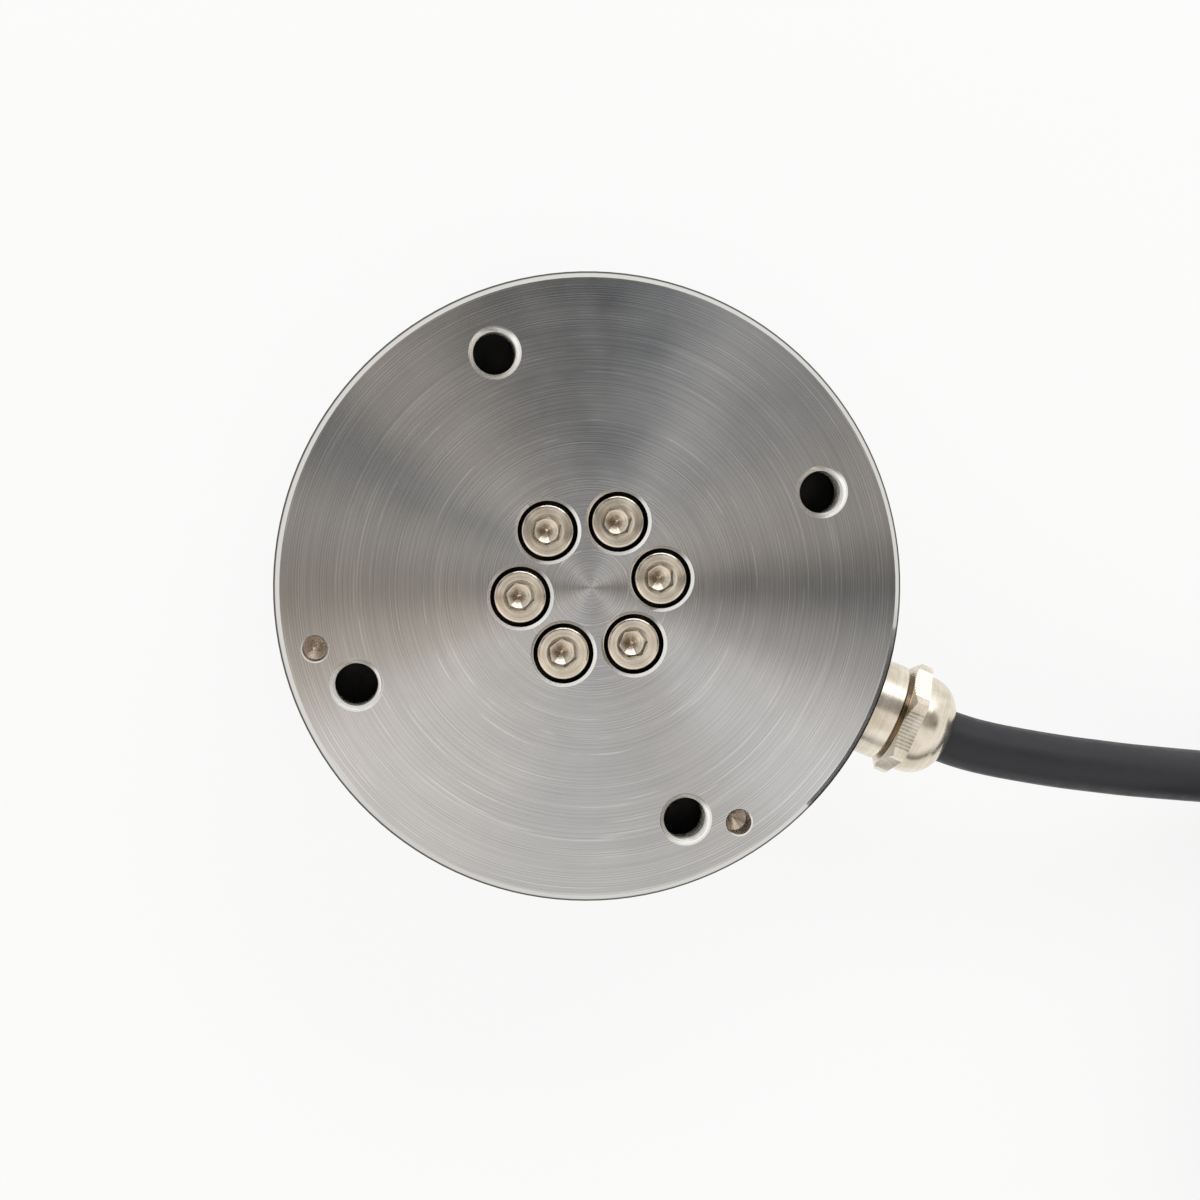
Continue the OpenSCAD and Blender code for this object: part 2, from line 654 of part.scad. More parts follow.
// Insulated cores from the cable's end to the header, cut square at both
module cable_cores() color([0.75, 0.20, 0.15]) {
  from_x = header_x + header_l;
  over = 1;
  intersection() {
    for (i = [0:core_n - 1]) {
      turn = 360 * (i + 0.5) / core_n;
      p = [from_x, (i - (core_n - 1) / 2) * 2.1, board_z - header_h / 2];
      q = [jacket_x, -2.6 * cos(turn / 2 + 15), gland_z + (i % 2 == 0 ? 1.2 : -1.2)];
      rod(p - over * unit(q - p), q + over * unit(q - p), core_d / 2);
    }
    translate([from_x, -20, gland_z - 20]) cube([jacket_x - from_x, 40, 40]);
  }
}

// ---------- cable gland, along +X ----------

module on_gland_axis() translate([0, 0, gland_z]) rotate([0, 90, 0]) children();

module gland_body() color([0.80, 0.76, 0.68]) on_gland_axis() rotate_extrude() {
  thread_r = gland_thread_d / 2;
  back_r = back_thread_d / 2;
  seat_x = spot_x + seal_ring_t;
  bevel = 0.4;
  polygon([
    [gland_bore_d / 2, stub_x], [thread_r - 0.8, stub_x], [thread_r, stub_x + 0.8],
    [thread_r, seat_x], [collar_d / 2 - bevel, seat_x], [collar_d / 2, seat_x + bevel],
    [collar_d / 2, collar_x - bevel], [collar_d / 2 - bevel, collar_x], [back_r, collar_x],
    [back_r, back_x - 0.5], [back_r - 0.5, back_x], [claw_d / 2 + slip, back_x],
    [claw_d / 2 + slip, claw_x], [gland_bore_d / 2, claw_x]]);
}

module gland_o_ring() color([0.04, 0.04, 0.04]) on_gland_axis() rotate_extrude()
  round_rect([gland_thread_d / 2 + slip, spot_x], [collar_d / 2 - 0.3, spot_x + seal_ring_t],
    seal_ring_t * 0.4);

module gland_seal() color([0.10, 0.10, 0.10]) on_gland_axis() difference() {
  translate([0, 0, claw_x]) cylinder(d = gland_seal_d, h = claw_l - 0.6);
  translate([0, 0, claw_x - 1]) cylinder(d = cable_d, h = claw_l + 1);
}

// Nylon clamp with fingers that the nut presses on the seal
module gland_claw() color([0.85, 0.85, 0.82]) on_gland_axis() difference() {
  translate([0, 0, claw_x]) cylinder(d = claw_d, h = claw_l);
  translate([0, 0, claw_x - 1]) cylinder(d = gland_seal_d + 2 * slip, h = claw_l + 2);
  for (i = [0:7]) rotate(45 * i + 22.5)
    translate([0, -0.4, claw_x + 1.6]) cube([claw_d, 0.8, claw_l]);
}

// The nut's outline: a hexagon with fine ribs across the middle of each flat
function rib_point(k, i) = let (a = 60 * k + 30)
  (nut_af / 2 - (i % 2 == 0 ? 0 : nut_rib_h)) * [cos(a), sin(a)]
  + (i - nut_ribs) * nut_rib_pitch / 2 * [-sin(a), cos(a)];
module nut_outline() polygon([for (k = [0:5])
  each concat([nut_af / 2 / cos(30) * [cos(60 * k), sin(60 * k)]],
    [for (i = [0:2 * nut_ribs]) rib_point(k, i)])]);

module gland_nut() color([0.82, 0.78, 0.70]) on_gland_axis() difference() {
  corner_r = nut_af / 2 / cos(30);
  round_r = 5.5;
  dome_r = dome_d / 2;
  union() {
    intersection() {
      translate([0, 0, nut_x]) rotate(nut_turn) linear_extrude(nut_hex_l) nut_outline();
      rotate_extrude() polygon([
        [0, nut_x], [nut_af / 2 - 0.2, nut_x], [corner_r + 0.1, nut_x + 1],
        [corner_r + 0.1, dome_x - 0.3], [corner_r - 0.4, dome_x], [0, dome_x]]);
    }
    rotate_extrude() {
      translate([0, dome_x - eps]) square([dome_r, dome_l - round_r + eps]);
      translate([0, dome_x]) square([dome_r - round_r, dome_l]);
      intersection() {
        translate([dome_r - round_r, mouth_x - round_r]) circle(round_r);
        translate([0, dome_x]) square([dome_r, dome_l]);
      }
    }
  }
  claw_end = claw_x + claw_l + 0.1;
  translate([0, 0, nut_x - eps]) cylinder(d = back_thread_d + 2 * screw_slip, h = back_x - nut_x + 0.5);
  translate([0, 0, back_x]) cylinder(d = claw_d + 2 * slip, h = claw_end - back_x);
  translate([0, 0, claw_end - eps])
    cylinder(d1 = claw_d + 2 * slip, d2 = mouth_d, h = mouth_x - claw_end - 1);
  translate([0, 0, claw_end]) cylinder(d = mouth_d, h = dome_l);
}

// ---------- cable, coil and plug ----------

// Jacket from its end inside the housing, through the gland, to the coil
module cable() color([0.20, 0.20, 0.21])
  tube(concat([[jacket_x, 0, gland_z], [mouth_x, 0, gland_z]], route, [lead_in_end]),
    cable_r, tube_sides, [1, 0, 0], heading(coil_in_angle - 90));

// The wound length as one ring, with its straight lead in and lead out
module cable_coil() color([0.20, 0.20, 0.21]) translate(coil_centre) {
  rotate_extrude($fn = 144)
    round_rect(bundle_low, bundle_high, cable_r);
  rotate(coil_in_angle) translate([coil_out_r, 0, coil_low_z]) rotate([-90, 0, 0])
    cylinder(r = cable_r, h = coil_lead, $fn = 48);
  rotate(coil_out_angle) translate([coil_out_r, 0, coil_top_z]) rotate([90, 0, 0])
    cylinder(r = cable_r, h = coil_lead, $fn = 48);
}

module cable_tail() color([0.20, 0.20, 0.21])
  tube(concat([lead_out_end], tail_line, [plug_at + boot_l * plug_dir]), cable_r, tube_sides,
    heading(coil_out_angle - 90), plug_dir);

// Straps round the bundle of turns
module coil_ties() color([0.06, 0.06, 0.07]) translate(coil_centre)
  for (a = tie_angles) rotate(a) rotate_extrude(angle = tie_turn, $fn = 144) difference() {
    round_rect(bundle_low - [tie_t, tie_t], bundle_high + [tie_t, tie_t], cable_r + tie_t);
    round_rect(bundle_low, bundle_high, cable_r);
  }

module on_plug_axis() translate(plug_at) rotate([0, 90, plug_turn]) children();

// Rubber strain relief, tapered towards the cable
module plug_boot() color([0.08, 0.08, 0.08]) on_plug_axis() difference() {
  cylinder(d1 = cable_d + 2.4, d2 = plug_shell_d - 1, h = boot_l);
  translate([0, 0, -1]) cylinder(d = cable_d + 2 * slip, h = boot_l + 2);
  for (i = [0:2]) translate([0, 0, 3 + 4 * i]) difference() {
    cylinder(d = plug_shell_d + 4, h = 1.6);
    translate([0, 0, -eps]) cylinder(d = cable_d + 1.8 + i * 0.6, h = 1.6 + 2 * eps);
  }
}

module plug_shell() color([0.78, 0.77, 0.74]) on_plug_axis() translate([0, 0, boot_l])
  rotate_extrude() {
    r = plug_shell_d / 2;
    bevel = 0.6;
    polygon([[2.6, 0], [r - bevel, 0], [r, bevel], [r, shell_l - bevel], [r - bevel, shell_l],
      [shell_bore / 2, shell_l], [shell_bore / 2, shell_web], [2.6, shell_web]]);
  }

// Coupling ring with a grooved grip
module plug_ring() color([0.76, 0.75, 0.72]) on_plug_axis() translate([0, 0, ring_z])
  difference() {
    rotate_extrude() {
      r = plug_ring_d / 2;
      in_r = plug_shell_d / 2 + 0.1;
      polygon([[in_r, 0], [r - 0.8, 0], [r, 0.8], [r, ring_l - 0.8], [r - 0.8, ring_l], [in_r, ring_l]]);
    }
    for (i = [0:knurl_n - 1]) rotate(360 * (i + 0.5) / knurl_n)
      translate([plug_ring_d / 2 + 0.35, 0, 3]) cylinder(r = 0.8, h = ring_l - 6, $fn = 24);
  }

module plug_insert() color([0.09, 0.09, 0.10]) on_plug_axis() translate([0, 0, insert_z])
  difference() {
    cylinder(d = shell_bore - 2 * slip, h = insert_l);
    translate([0, 0, -1]) around([for (i = [0:pin_n - 1]) 360 * i / pin_n], pin_circle / 2)
      cylinder(d = pin_d + 2 * slip, h = insert_l + 2, $fn = 24);
    translate([shell_bore / 2 - 0.8, -0.8, insert_l - 4]) cube([2, 1.6, 5]);
  }

module plug_pins() color([0.83, 0.69, 0.35]) on_plug_axis() translate([0, 0, pin_z])
  around([for (i = [0:pin_n - 1]) 360 * i / pin_n], pin_circle / 2) {
    cylinder(d = pin_d, h = pin_l - 0.3, $fn = 24);
    translate([0, 0, pin_l - 0.3 - eps]) cylinder(d1 = pin_d, d2 = pin_d - 0.4, h = 0.3, $fn = 24);
  }

tool_flange();
hub_screws();
measuring_body();
strain_gauges();
gauge_leads();
bottom_gasket();
bottom_cover();
bottom_cover_screws();
cavity_cover();
cavity_cover_screws();
dust_seal();
amplifier_board();
board_chips();
lead_sockets();
cable_header();
board_standoffs();
board_screws();
cable_cores();
gland_body();
gland_o_ring();
gland_seal();
gland_claw();
gland_nut();
cable();
cable_coil();
cable_tail();
coil_ties();
plug_boot();
plug_shell();
plug_ring();
plug_insert();
plug_pins();
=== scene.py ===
import math

import bpy
from mathutils import Matrix, Vector


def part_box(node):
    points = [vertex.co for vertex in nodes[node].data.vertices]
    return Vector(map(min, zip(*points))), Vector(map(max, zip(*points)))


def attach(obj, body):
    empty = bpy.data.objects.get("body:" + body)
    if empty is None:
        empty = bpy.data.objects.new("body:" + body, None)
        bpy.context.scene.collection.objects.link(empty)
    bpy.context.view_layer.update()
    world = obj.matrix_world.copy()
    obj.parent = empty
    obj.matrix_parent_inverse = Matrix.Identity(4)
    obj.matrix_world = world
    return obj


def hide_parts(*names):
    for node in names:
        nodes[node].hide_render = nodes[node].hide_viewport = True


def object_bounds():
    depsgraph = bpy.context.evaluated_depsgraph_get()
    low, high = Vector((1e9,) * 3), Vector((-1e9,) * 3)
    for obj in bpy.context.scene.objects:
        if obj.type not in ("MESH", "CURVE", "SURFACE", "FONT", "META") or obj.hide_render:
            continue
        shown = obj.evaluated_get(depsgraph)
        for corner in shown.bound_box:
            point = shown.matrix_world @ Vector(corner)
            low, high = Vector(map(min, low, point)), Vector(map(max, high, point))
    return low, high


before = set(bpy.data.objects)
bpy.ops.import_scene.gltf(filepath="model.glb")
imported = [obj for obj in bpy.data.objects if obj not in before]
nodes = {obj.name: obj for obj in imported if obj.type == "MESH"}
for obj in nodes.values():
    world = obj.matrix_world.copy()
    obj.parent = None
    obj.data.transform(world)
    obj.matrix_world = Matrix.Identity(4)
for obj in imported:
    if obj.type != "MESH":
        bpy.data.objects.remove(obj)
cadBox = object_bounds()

print("frame loaded:", len(nodes), "CAD nodes")


# small helpers

def polar(radius, degrees, height=0.0):
    a = math.radians(degrees)
    return Vector((radius * math.cos(a), radius * math.sin(a), height))


def deselectAll():
    if bpy.context.object and bpy.context.object.mode != "OBJECT":
        bpy.ops.object.mode_set(mode="OBJECT")
    bpy.ops.object.select_all(action="DESELECT")


def onlySelect(piece):
    deselectAll()
    piece.select_set(True)
    bpy.context.view_layer.objects.active = piece


def applyModifier(piece, kind, **settings):
    onlySelect(piece)
    modifier = piece.modifiers.new(kind.lower(), kind)
    for key, value in settings.items():
        setattr(modifier, key, value)
    bpy.ops.object.modifier_apply(modifier=modifier.name)


def bakePlace(piece):  # the object ends at the origin, unturned and unscaled
    onlySelect(piece)
    bpy.ops.object.transform_apply(location=True, rotation=True, scale=True)


def smoothByAngle(piece, degrees):
    onlySelect(piece)
    bpy.ops.object.shade_smooth_by_angle(angle=math.radians(degrees))


def selectWhere(piece, test, kind="VERT"):  # leaves edit mode on, with what passes selected
    onlySelect(piece)
    bpy.ops.object.mode_set(mode="EDIT")
    bpy.ops.mesh.select_mode(type=kind)
    bpy.ops.mesh.select_all(action="DESELECT")
    bpy.ops.object.mode_set(mode="OBJECT")
    if kind == "VERT":
        for vertex in piece.data.vertices:
            vertex.select = test(vertex.co)
    else:
        for face in piece.data.polygons:
            face.select = test(face.center, face.normal)
    bpy.ops.object.mode_set(mode="EDIT")


def copyAt(piece, matrix, name):
    twin = piece.copy()
    twin.data = piece.data.copy()
    twin.name = name
    twin.data.name = name
    twin.data.transform(matrix)
    bpy.context.scene.collection.objects.link(twin)
    return twin


def giveFinish(piece, finish):  # as the only material of a new piece
    piece.data.materials.clear()
    piece.data.materials.append(finish)


# the camera

cameraSpec = {
    "place": (-0.0369, -0.0026, 0.420),
    "turn": (-2.07, -5.48, 22.7),
    "lens": 72.33,
    "sensor": 36,
    "clip": (0.01, 20),
}

camera = bpy.data.objects.new("camera", bpy.data.cameras.new("camera"))
bpy.context.scene.collection.objects.link(camera)
camera.location = cameraSpec["place"]
camera.rotation_euler = [math.radians(a) for a in cameraSpec["turn"]]
camera.data.lens = cameraSpec["lens"]
camera.data.sensor_width = cameraSpec["sensor"]
camera.data.clip_start, camera.data.clip_end = cameraSpec["clip"]
bpy.context.scene.camera = camera
print("camera placed")


# the cable: one length from inside the housing to the plug

cableSpec = {
    "diameter": 0.009,
    "start": (0.0385, 0, 0.0215),
    "exit": (0.0668, 0, 0.0215),
    "route": [(0.071, 0.0003, 0.0215), (0.075, 0.0009, 0.0215), (0.079, 0.0017, 0.0214),
              (0.084, 0.0028, 0.0212), (0.089, 0.004, 0.0207), (0.094, 0.0053, 0.0199),
              (0.099, 0.0066, 0.0188), (0.104, 0.008, 0.0173), (0.109, 0.0094, 0.0155),
              (0.1145, 0.01095, 0.0133), (0.120, 0.0125, 0.011), (0.1255, 0.01445, 0.0088),
              (0.131, 0.01695, 0.00695), (0.1355, 0.0193, 0.00605)],
    "coilStart": (0.1392, 0.0213, 0.0057),
    "enterAngle": 118,  # the coil is wound clockwise from here
    "leaveAngle": 128,
    "lead": 0.033293,
    "turned": [  # how far round, and the radius and height from there on
        (0, 0.0532, 0.0057), (255, 0.0532, 0.0057), (355, 0.044, 0.0057),
        (535, 0.044, 0.0057), (615, 0.044, 0.0149), (795, 0.044, 0.0149),
        (895, 0.0532, 0.0149), (1090, 0.0532, 0.0149), (1155, 0.0532, 0.0241),
        (1430, 0.0532, 0.0241)],
    "tail": [(0.00915, 0.00555, 0.0233), (0.01935, 0.00875, 0.0212),  # past the coil's lead
             (0.030, 0.0095, 0.0183), (0.04055, 0.00765, 0.0151), (0.05035, 0.00345, 0.0122),
             (0.0589, -0.003, 0.0101), (0.06565, -0.0113, 0.0093)],
    "plugAngle": -57.5,
    "bootLength": 0.018,
    "sides": 24,
    "straightParts": 6,
    "lineParts": 4,  # between two points of the route
    "coilStep": 5,
}


def ease(t):
    return t * t * (3 - 2 * t)


def coilPoints(spec, centre):
    # the lower layer steps in, the inner turn climbs, the next layer steps out and climbs again
    points = []
    for (a0, r0, z0), (a1, r1, z1) in zip(spec["turned"], spec["turned"][1:]):
        parts = round((a1 - a0) / spec["coilStep"])
        for k in range(parts):
            t = k / parts
            angle = spec["enterAngle"] - a0 - (a1 - a0) * t
            points.append(centre + polar(r0 + (r1 - r0) * ease(t), angle,
                                         z0 + (z1 - z0) * ease(t)))
    return points[1:]


def smoothLine(points, parts):  # a Catmull-Rom line through the points
    line = []
    for i in range(len(points) - 1):
        a, b = points[max(0, i - 1)], points[i]
        c, d = points[i + 1], points[min(len(points) - 1, i + 2)]
        for k in range(parts):
            t = k / parts
            line.append(0.5 * (2 * b + (c - a) * t + (2 * a - 5 * b + 4 * c - d) * t * t
                               + (3 * b - a - 3 * c + d) * t * t * t))
    return line + [points[-1]]


def cablePath(spec):
    # straight leads into and out of the coil, and the loose lengths on either side
    (_, outer, low), (_, _, high) = spec["turned"][0], spec["turned"][-1]
    start, lead = Vector(spec["coilStart"]), spec["lead"]
    turnOn = start + polar(lead, spec["enterAngle"] - 90)
    centre = turnOn - polar(outer, spec["enterAngle"], low)
    turnOff = centre + polar(outer, spec["leaveAngle"], high)
    free = turnOff + polar(lead, spec["leaveAngle"] - 90)
    tail = [Vector((free.x + x, free.y + y, z)) for x, y, z in spec["tail"]]
    plugIn = tail[-1] + polar(spec["bootLength"], spec["plugAngle"])
    inside, out = Vector(spec["start"]), Vector(spec["exit"])
    straight, parts = spec["straightParts"], spec["lineParts"]
    arrive = [inside.lerp(out, i / straight) for i in range(straight + 1)]
    arrive += [Vector(p) for p in spec["route"]]
    path = smoothLine(arrive + [start, start.lerp(turnOn, 0.5), turnOn], parts)
    path += coilPoints(spec, centre)
    path += smoothLine([turnOff, turnOff.lerp(free, 0.5), free, *tail, plugIn], parts)
    return path, centre, tail[-1]


def makeCable(spec):
    path, centre, plugStart = cablePath(spec)
    shape = bpy.data.curves.new("sensorCable", "CURVE")
    shape.dimensions = "3D"
    shape.bevel_depth = spec["diameter"] / 2
    shape.bevel_resolution = spec["sides"] // 4 - 1
    shape.use_fill_caps = True
    shape.twist_mode = "Z_UP"
    line = shape.splines.new("POLY")
    line.points.add(len(path) - 1)
    for point, p in zip(line.points, path):
        point.co = (*p, 1)
    cable = bpy.data.objects.new("sensorCable", shape)
    bpy.context.scene.collection.objects.link(cable)
    onlySelect(cable)
    bpy.ops.object.convert(target="MESH")
    cable = bpy.context.object
    cable.name = "sensorCable"
    smoothByAngle(cable, degrees=50)
    length = sum((b - a).length for a, b in zip(path, path[1:]))
    return cable, path, length, centre, plugStart


cable, cableLine, cableLength, coilCentre, plugStart = makeCable(cableSpec)
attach(cable, "root")
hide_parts("cable", "cable_coil", "cable_tail")
print("cable laid, m:", round(cableLength, 3))


# helpers for shader nodes

def setSocket(tree, socket, value):  # a link from another socket, or a plain value
    if isinstance(value, bpy.types.NodeSocket):
        tree.links.new(value, socket)
    else:
        socket.default_value = value


def addNode(tree, kind, inputs=None, **settings):
    made = tree.nodes.new(kind)
    for key, value in settings.items():
        setattr(made, key, value)
    for key, value in (inputs or {}).items():
        setSocket(tree, made.inputs[key], value)
    return made


def calc(tree, operation, *values, clamp=False):
    return addNode(tree, "ShaderNodeMath", dict(enumerate(values)), operation=operation,
                   use_clamp=clamp).outputs[0]


def vectorCalc(tree, operation, *values, output=0):
    return addNode(tree, "ShaderNodeVectorMath", dict(enumerate(values)),
                   operation=operation).outputs[output]


def splitVector(tree, vector):
    return addNode(tree, "ShaderNodeSeparateXYZ", {0: vector}).outputs


def joinVector(tree, *parts):
    return addNode(tree, "ShaderNodeCombineXYZ", dict(enumerate(parts))).outputs[0]


def remap(tree, value, fromLow, fromHigh, toLow, toHigh, kind="SMOOTHSTEP"):
    return addNode(tree, "ShaderNodeMapRange", {0: value, 1: fromLow, 2: fromHigh, 3: toLow,
                   4: toHigh}, interpolation_type=kind).outputs[0]


def blend(tree, factor, a, b):
    # sockets 0, 6 and 7 are the mix's factor and its two colours
    return addNode(tree, "ShaderNodeMix", {0: factor, 6: a, 7: b}, data_type="RGBA").outputs[2]


def levelPart(tree, parts):  # of a split vector, as a vector
    return joinVector(tree, parts[0], parts[1])


def degreesRound(tree, parts):  # from X, of a split vector
    return calc(tree, "DEGREES", calc(tree, "ARCTAN2", parts[1], parts[0]))


def mixValues(tree, part, a, b):  # that part of a and the rest of b
    return calc(tree, "ADD", calc(tree, "MULTIPLY", a, part),
                calc(tree, "MULTIPLY", b, 1 - part))


# floor, studio and lamp

stageSpec = {
    "floorSize": 12,
    "floorColour": (0.97, 0.97, 0.965, 1),
    "floorDrop": 0.0001,  # keeps the paper clear of the underside
    "floorGlow": 0.84,
    "keyAzimuth": 95,
    "keyHeight": 40,
    "keyDistance": 1.1,
    "keySize": (0.9, 0.5),
    "keyPower": 2.7,
    "worldLevel": 1.0,
    "shadeAzimuth": -67,  # a dark card low on this side
    "shadeDepth": 0.75,
    "shadeHeight": (0.12, 0.42),  # full below the first, gone above the second
    "shadeSide": (0.55, 0.92),  # the same across, as a cosine
    "cardsCentre": (0.097, 0.007, 0),  # the way that the face's middle mirrors to the camera
    "cardsTurn": 22.8,  # the cards go round from the camera's right
    "cardsReach": (0.9, 1.4),  # they fade out away from their centre
    "cardsHeight": (0.4, 0.5),  # and towards the horizon
    "cards": [  # soft cards overhead: way round in degrees, brightness and warmth
        (0, 0.10, 0.0), (14, 0.38, 0.08), (45, 0.28, 0.01), (60, 0.42, 0.01), (75, 0.16, -0.07),
        (90, 0.08, -0.06), (105, 0.14, 0.04), (135, 0.36, 0.12), (150, 0.14, -0.02),
        (165, 0.40, 0.08), (180, 0.32, 0.14), (195, 0.60, 0.14), (210, 1.00, 0.06),
        (270, 0.84, 0.03), (300, 0.78, 0.04), (318, 1.02, 0.01), (330, 0.96, 0.04),
        (345, 0.46, 0.04)],
}


def makeFloor(spec):
    bpy.ops.mesh.primitive_grid_add(x_subdivisions=4, y_subdivisions=4, size=spec["floorSize"],
                                    location=(0, 0, -spec["floorDrop"]))
    floor = bpy.context.object
    floor.name = "studioFloor"
    finish = bpy.data.materials.new("studioPaper")
    finish.use_nodes = True
    tree = finish.node_tree
    tree.nodes.clear()
    path = addNode(tree, "ShaderNodeLightPath")
    paper = addNode(tree, "ShaderNodeBsdfDiffuse", {"Color": spec["floorColour"]})
    glow = addNode(tree, "ShaderNodeEmission", {"Color": (1, 1, 1, 1), "Strength": 1})
    # the paper looks white to the camera and in the metal, and still takes the shadow
    rays = calc(tree, "ADD", path.outputs["Is Camera Ray"], path.outputs["Is Glossy Ray"],
                clamp=True)
    seen = calc(tree, "MULTIPLY", rays, spec["floorGlow"])
    mixed = addNode(tree, "ShaderNodeMixShader", {0: seen, 1: paper.outputs[0],
                                                  2: glow.outputs[0]})
    addNode(tree, "ShaderNodeOutputMaterial", {"Surface": mixed.outputs[0]})
    floor.data.materials.append(finish)


def makeCards(tree, way, spec):
    # cards round the top of the dome, whose brightness goes by the way round
    height = splitVector(tree, way)[2]
    flat = addNode(tree, "ShaderNodeVectorMath", {0: way, 3: calc(tree, "DIVIDE", 1.0, height)},
                   operation="SCALE").outputs[0]
    parts = splitVector(tree, vectorCalc(tree, "SUBTRACT", flat, spec["cardsCentre"]))
    reach = vectorCalc(tree, "LENGTH", levelPart(tree, parts), output=1)
    turned = calc(tree, "DIVIDE", calc(tree, "SUBTRACT", degreesRound(tree, parts),
                                       spec["cardsTurn"]), 360.0)
    ring = addNode(tree, "ShaderNodeValToRGB", {0: calc(tree, "FRACT", turned)})
    stops = ring.color_ramp.elements
    ring.color_ramp.interpolation = "EASE"
    cards = spec["cards"] + [(359.9, *spec["cards"][0][1:])]  # back to the first one
    stops[0].position, stops[1].position = cards[0][0] / 360, cards[-1][0] / 360
    for azimuth, _, _ in cards[1:-1]:
        stops.new(azimuth / 360)
    for stop, (_, light, warmth) in zip(stops, cards):
        stop.color = (light * (1 + warmth), light, light * (1 - warmth), 1)
    near = calc(tree, "MULTIPLY", remap(tree, reach, *spec["cardsReach"], 1.0, 0.0),
                remap(tree, height, *spec["cardsHeight"], 0.0, 1.0))
    return ring.outputs[0], near


def makeWorld(spec):
    world = bpy.data.worlds.new("studio")
    bpy.context.scene.world = world
    world.use_nodes = True
    tree = world.node_tree
    tree.nodes.clear()
    way = addNode(tree, "ShaderNodeTexCoord").outputs["Generated"]
    height = splitVector(tree, way)[2]
    side = vectorCalc(tree, "DOT_PRODUCT", way, tuple(polar(1, spec["shadeAzimuth"])), output=1)
    low = remap(tree, height, *spec["shadeHeight"], 1.0, 0.0)
    facing = remap(tree, side, *spec["shadeSide"], 0.0, spec["shadeDepth"])
    card = calc(tree, "SUBTRACT", 1.0, calc(tree, "MULTIPLY", low, facing))
    room = calc(tree, "MULTIPLY", card, spec["worldLevel"])
    cards, near = makeCards(tree, way, spec)
    seen = blend(tree, near, room, cards)
    path = addNode(tree, "ShaderNodeLightPath")
    colour = blend(tree, path.outputs["Is Camera Ray"], seen, (1, 1, 1, 1))
    back = addNode(tree, "ShaderNodeBackground", {"Color": colour, "Strength": 1.0})
    addNode(tree, "ShaderNodeOutputWorld", {"Surface": back.outputs[0]})


def addLamp(name, azimuth, height, distance, size, power):
    lamp = bpy.data.lights.new(name, "AREA")
    lamp.shape = "RECTANGLE"
    lamp.size, lamp.size_y = size
    lamp.energy = power
    holder = bpy.data.objects.new(name, lamp)
    bpy.context.scene.collection.objects.link(holder)
    at = polar(distance * math.cos(math.radians(height)), azimuth,
               distance * math.sin(math.radians(height)))
    holder.location = at
    holder.rotation_euler = (-at).to_track_quat("-Z", "Y").to_euler()


makeFloor(stageSpec)
makeWorld(stageSpec)
addLamp("keySoftbox", stageSpec["keyAzimuth"], stageSpec["keyHeight"], stageSpec["keyDistance"],
        stageSpec["keySize"], stageSpec["keyPower"])
bpy.context.scene.view_settings.view_transform = "Standard"
print("floor, world and lamp set")


# effects that the finishes share

def newGroup(name, inputs, outputs):
    group = bpy.data.node_groups.new(name, "ShaderNodeTree")
    for label, kind, value in inputs:
        socket = group.interface.new_socket(label, in_out="INPUT", socket_type="NodeSocket" + kind)
        if value is not None:
            socket.default_value = value
    for label, kind in outputs:
        group.interface.new_socket(label, in_out="OUTPUT", socket_type="NodeSocket" + kind)
    return group, group.nodes.new("NodeGroupInput").outputs, group.nodes.new("NodeGroupOutput")


def noiseAt(tree, vector, scale, detail, roughness, w=None):
    inputs = {"Vector": vector, "Scale": scale, "Detail": detail, "Roughness": roughness}
    if w is not None:
        inputs["W"] = w
    return addNode(tree, "ShaderNodeTexNoise", inputs,
                   noise_dimensions="3D" if w is None else "4D").outputs["Fac"]


noiseSpan = (0.3, 0.7)  # where most of a noise lies


def makeLatheGroup():
    # grooves that run round Z: Place is in millimetres from the axis, and Feed is per millimetre
    group, given, out = newGroup("latheGrooves", [
        ("Place", "Vector", None), ("Feed", "Float", 4.0), ("Spread", "Float", 1.2)],
        [("Grooves", "Float"), ("Bands", "Float"), ("Scuffs", "Float")])
    parts = splitVector(group, given["Place"])
    flat = levelPart(group, parts)
    radius = vectorCalc(group, "LENGTH", flat, output=1)
    around = splitVector(group, vectorCalc(group, "NORMALIZE", flat))

    def across(share):  # the two ways over the grooves
        feed = calc(group, "MULTIPLY", given["Feed"], share)
        return calc(group, "MULTIPLY", radius, feed), calc(group, "MULTIPLY", parts[2], feed)

    def rings(share, detail, offset):  # true circles, the same all the way round
        return noiseAt(group, joinVector(group, *across(share), offset), 1.0, detail, 0.6)

    def breaks(share, spread):  # where the circles fade out and come back
        reach = calc(group, "MULTIPLY", given["Spread"], spread)
        place = joinVector(group, *across(share), calc(group, "MULTIPLY", around[0], reach))
        return noiseAt(group, place, 1.0, 1.0, 0.5, w=calc(group, "MULTIPLY", around[1], reach))

    depth = remap(group, breaks(share=0.3, spread=1.0), *noiseSpan, 0.4, 1.4)
    cut = calc(group, "SUBTRACT", rings(share=1.0, detail=3.0, offset=0.0), 0.5)
    fine = calc(group, "MULTIPLY_ADD", cut, depth, 0.5)
    broad = breaks(share=0.09, spread=0.6)
    lines = remap(group, rings(share=0.8, detail=1.0, offset=5.0), 0.58, 0.70, 0.0, 1.0)
    scuffs = calc(group, "MULTIPLY", lines,
                  remap(group, breaks(share=0.5, spread=1.6), 0.48, 0.62, 0.0, 1.0))
    for name, value in (("Grooves", fine), ("Bands", broad), ("Scuffs", scuffs)):
        group.links.new(value, out.inputs[name])
    return group


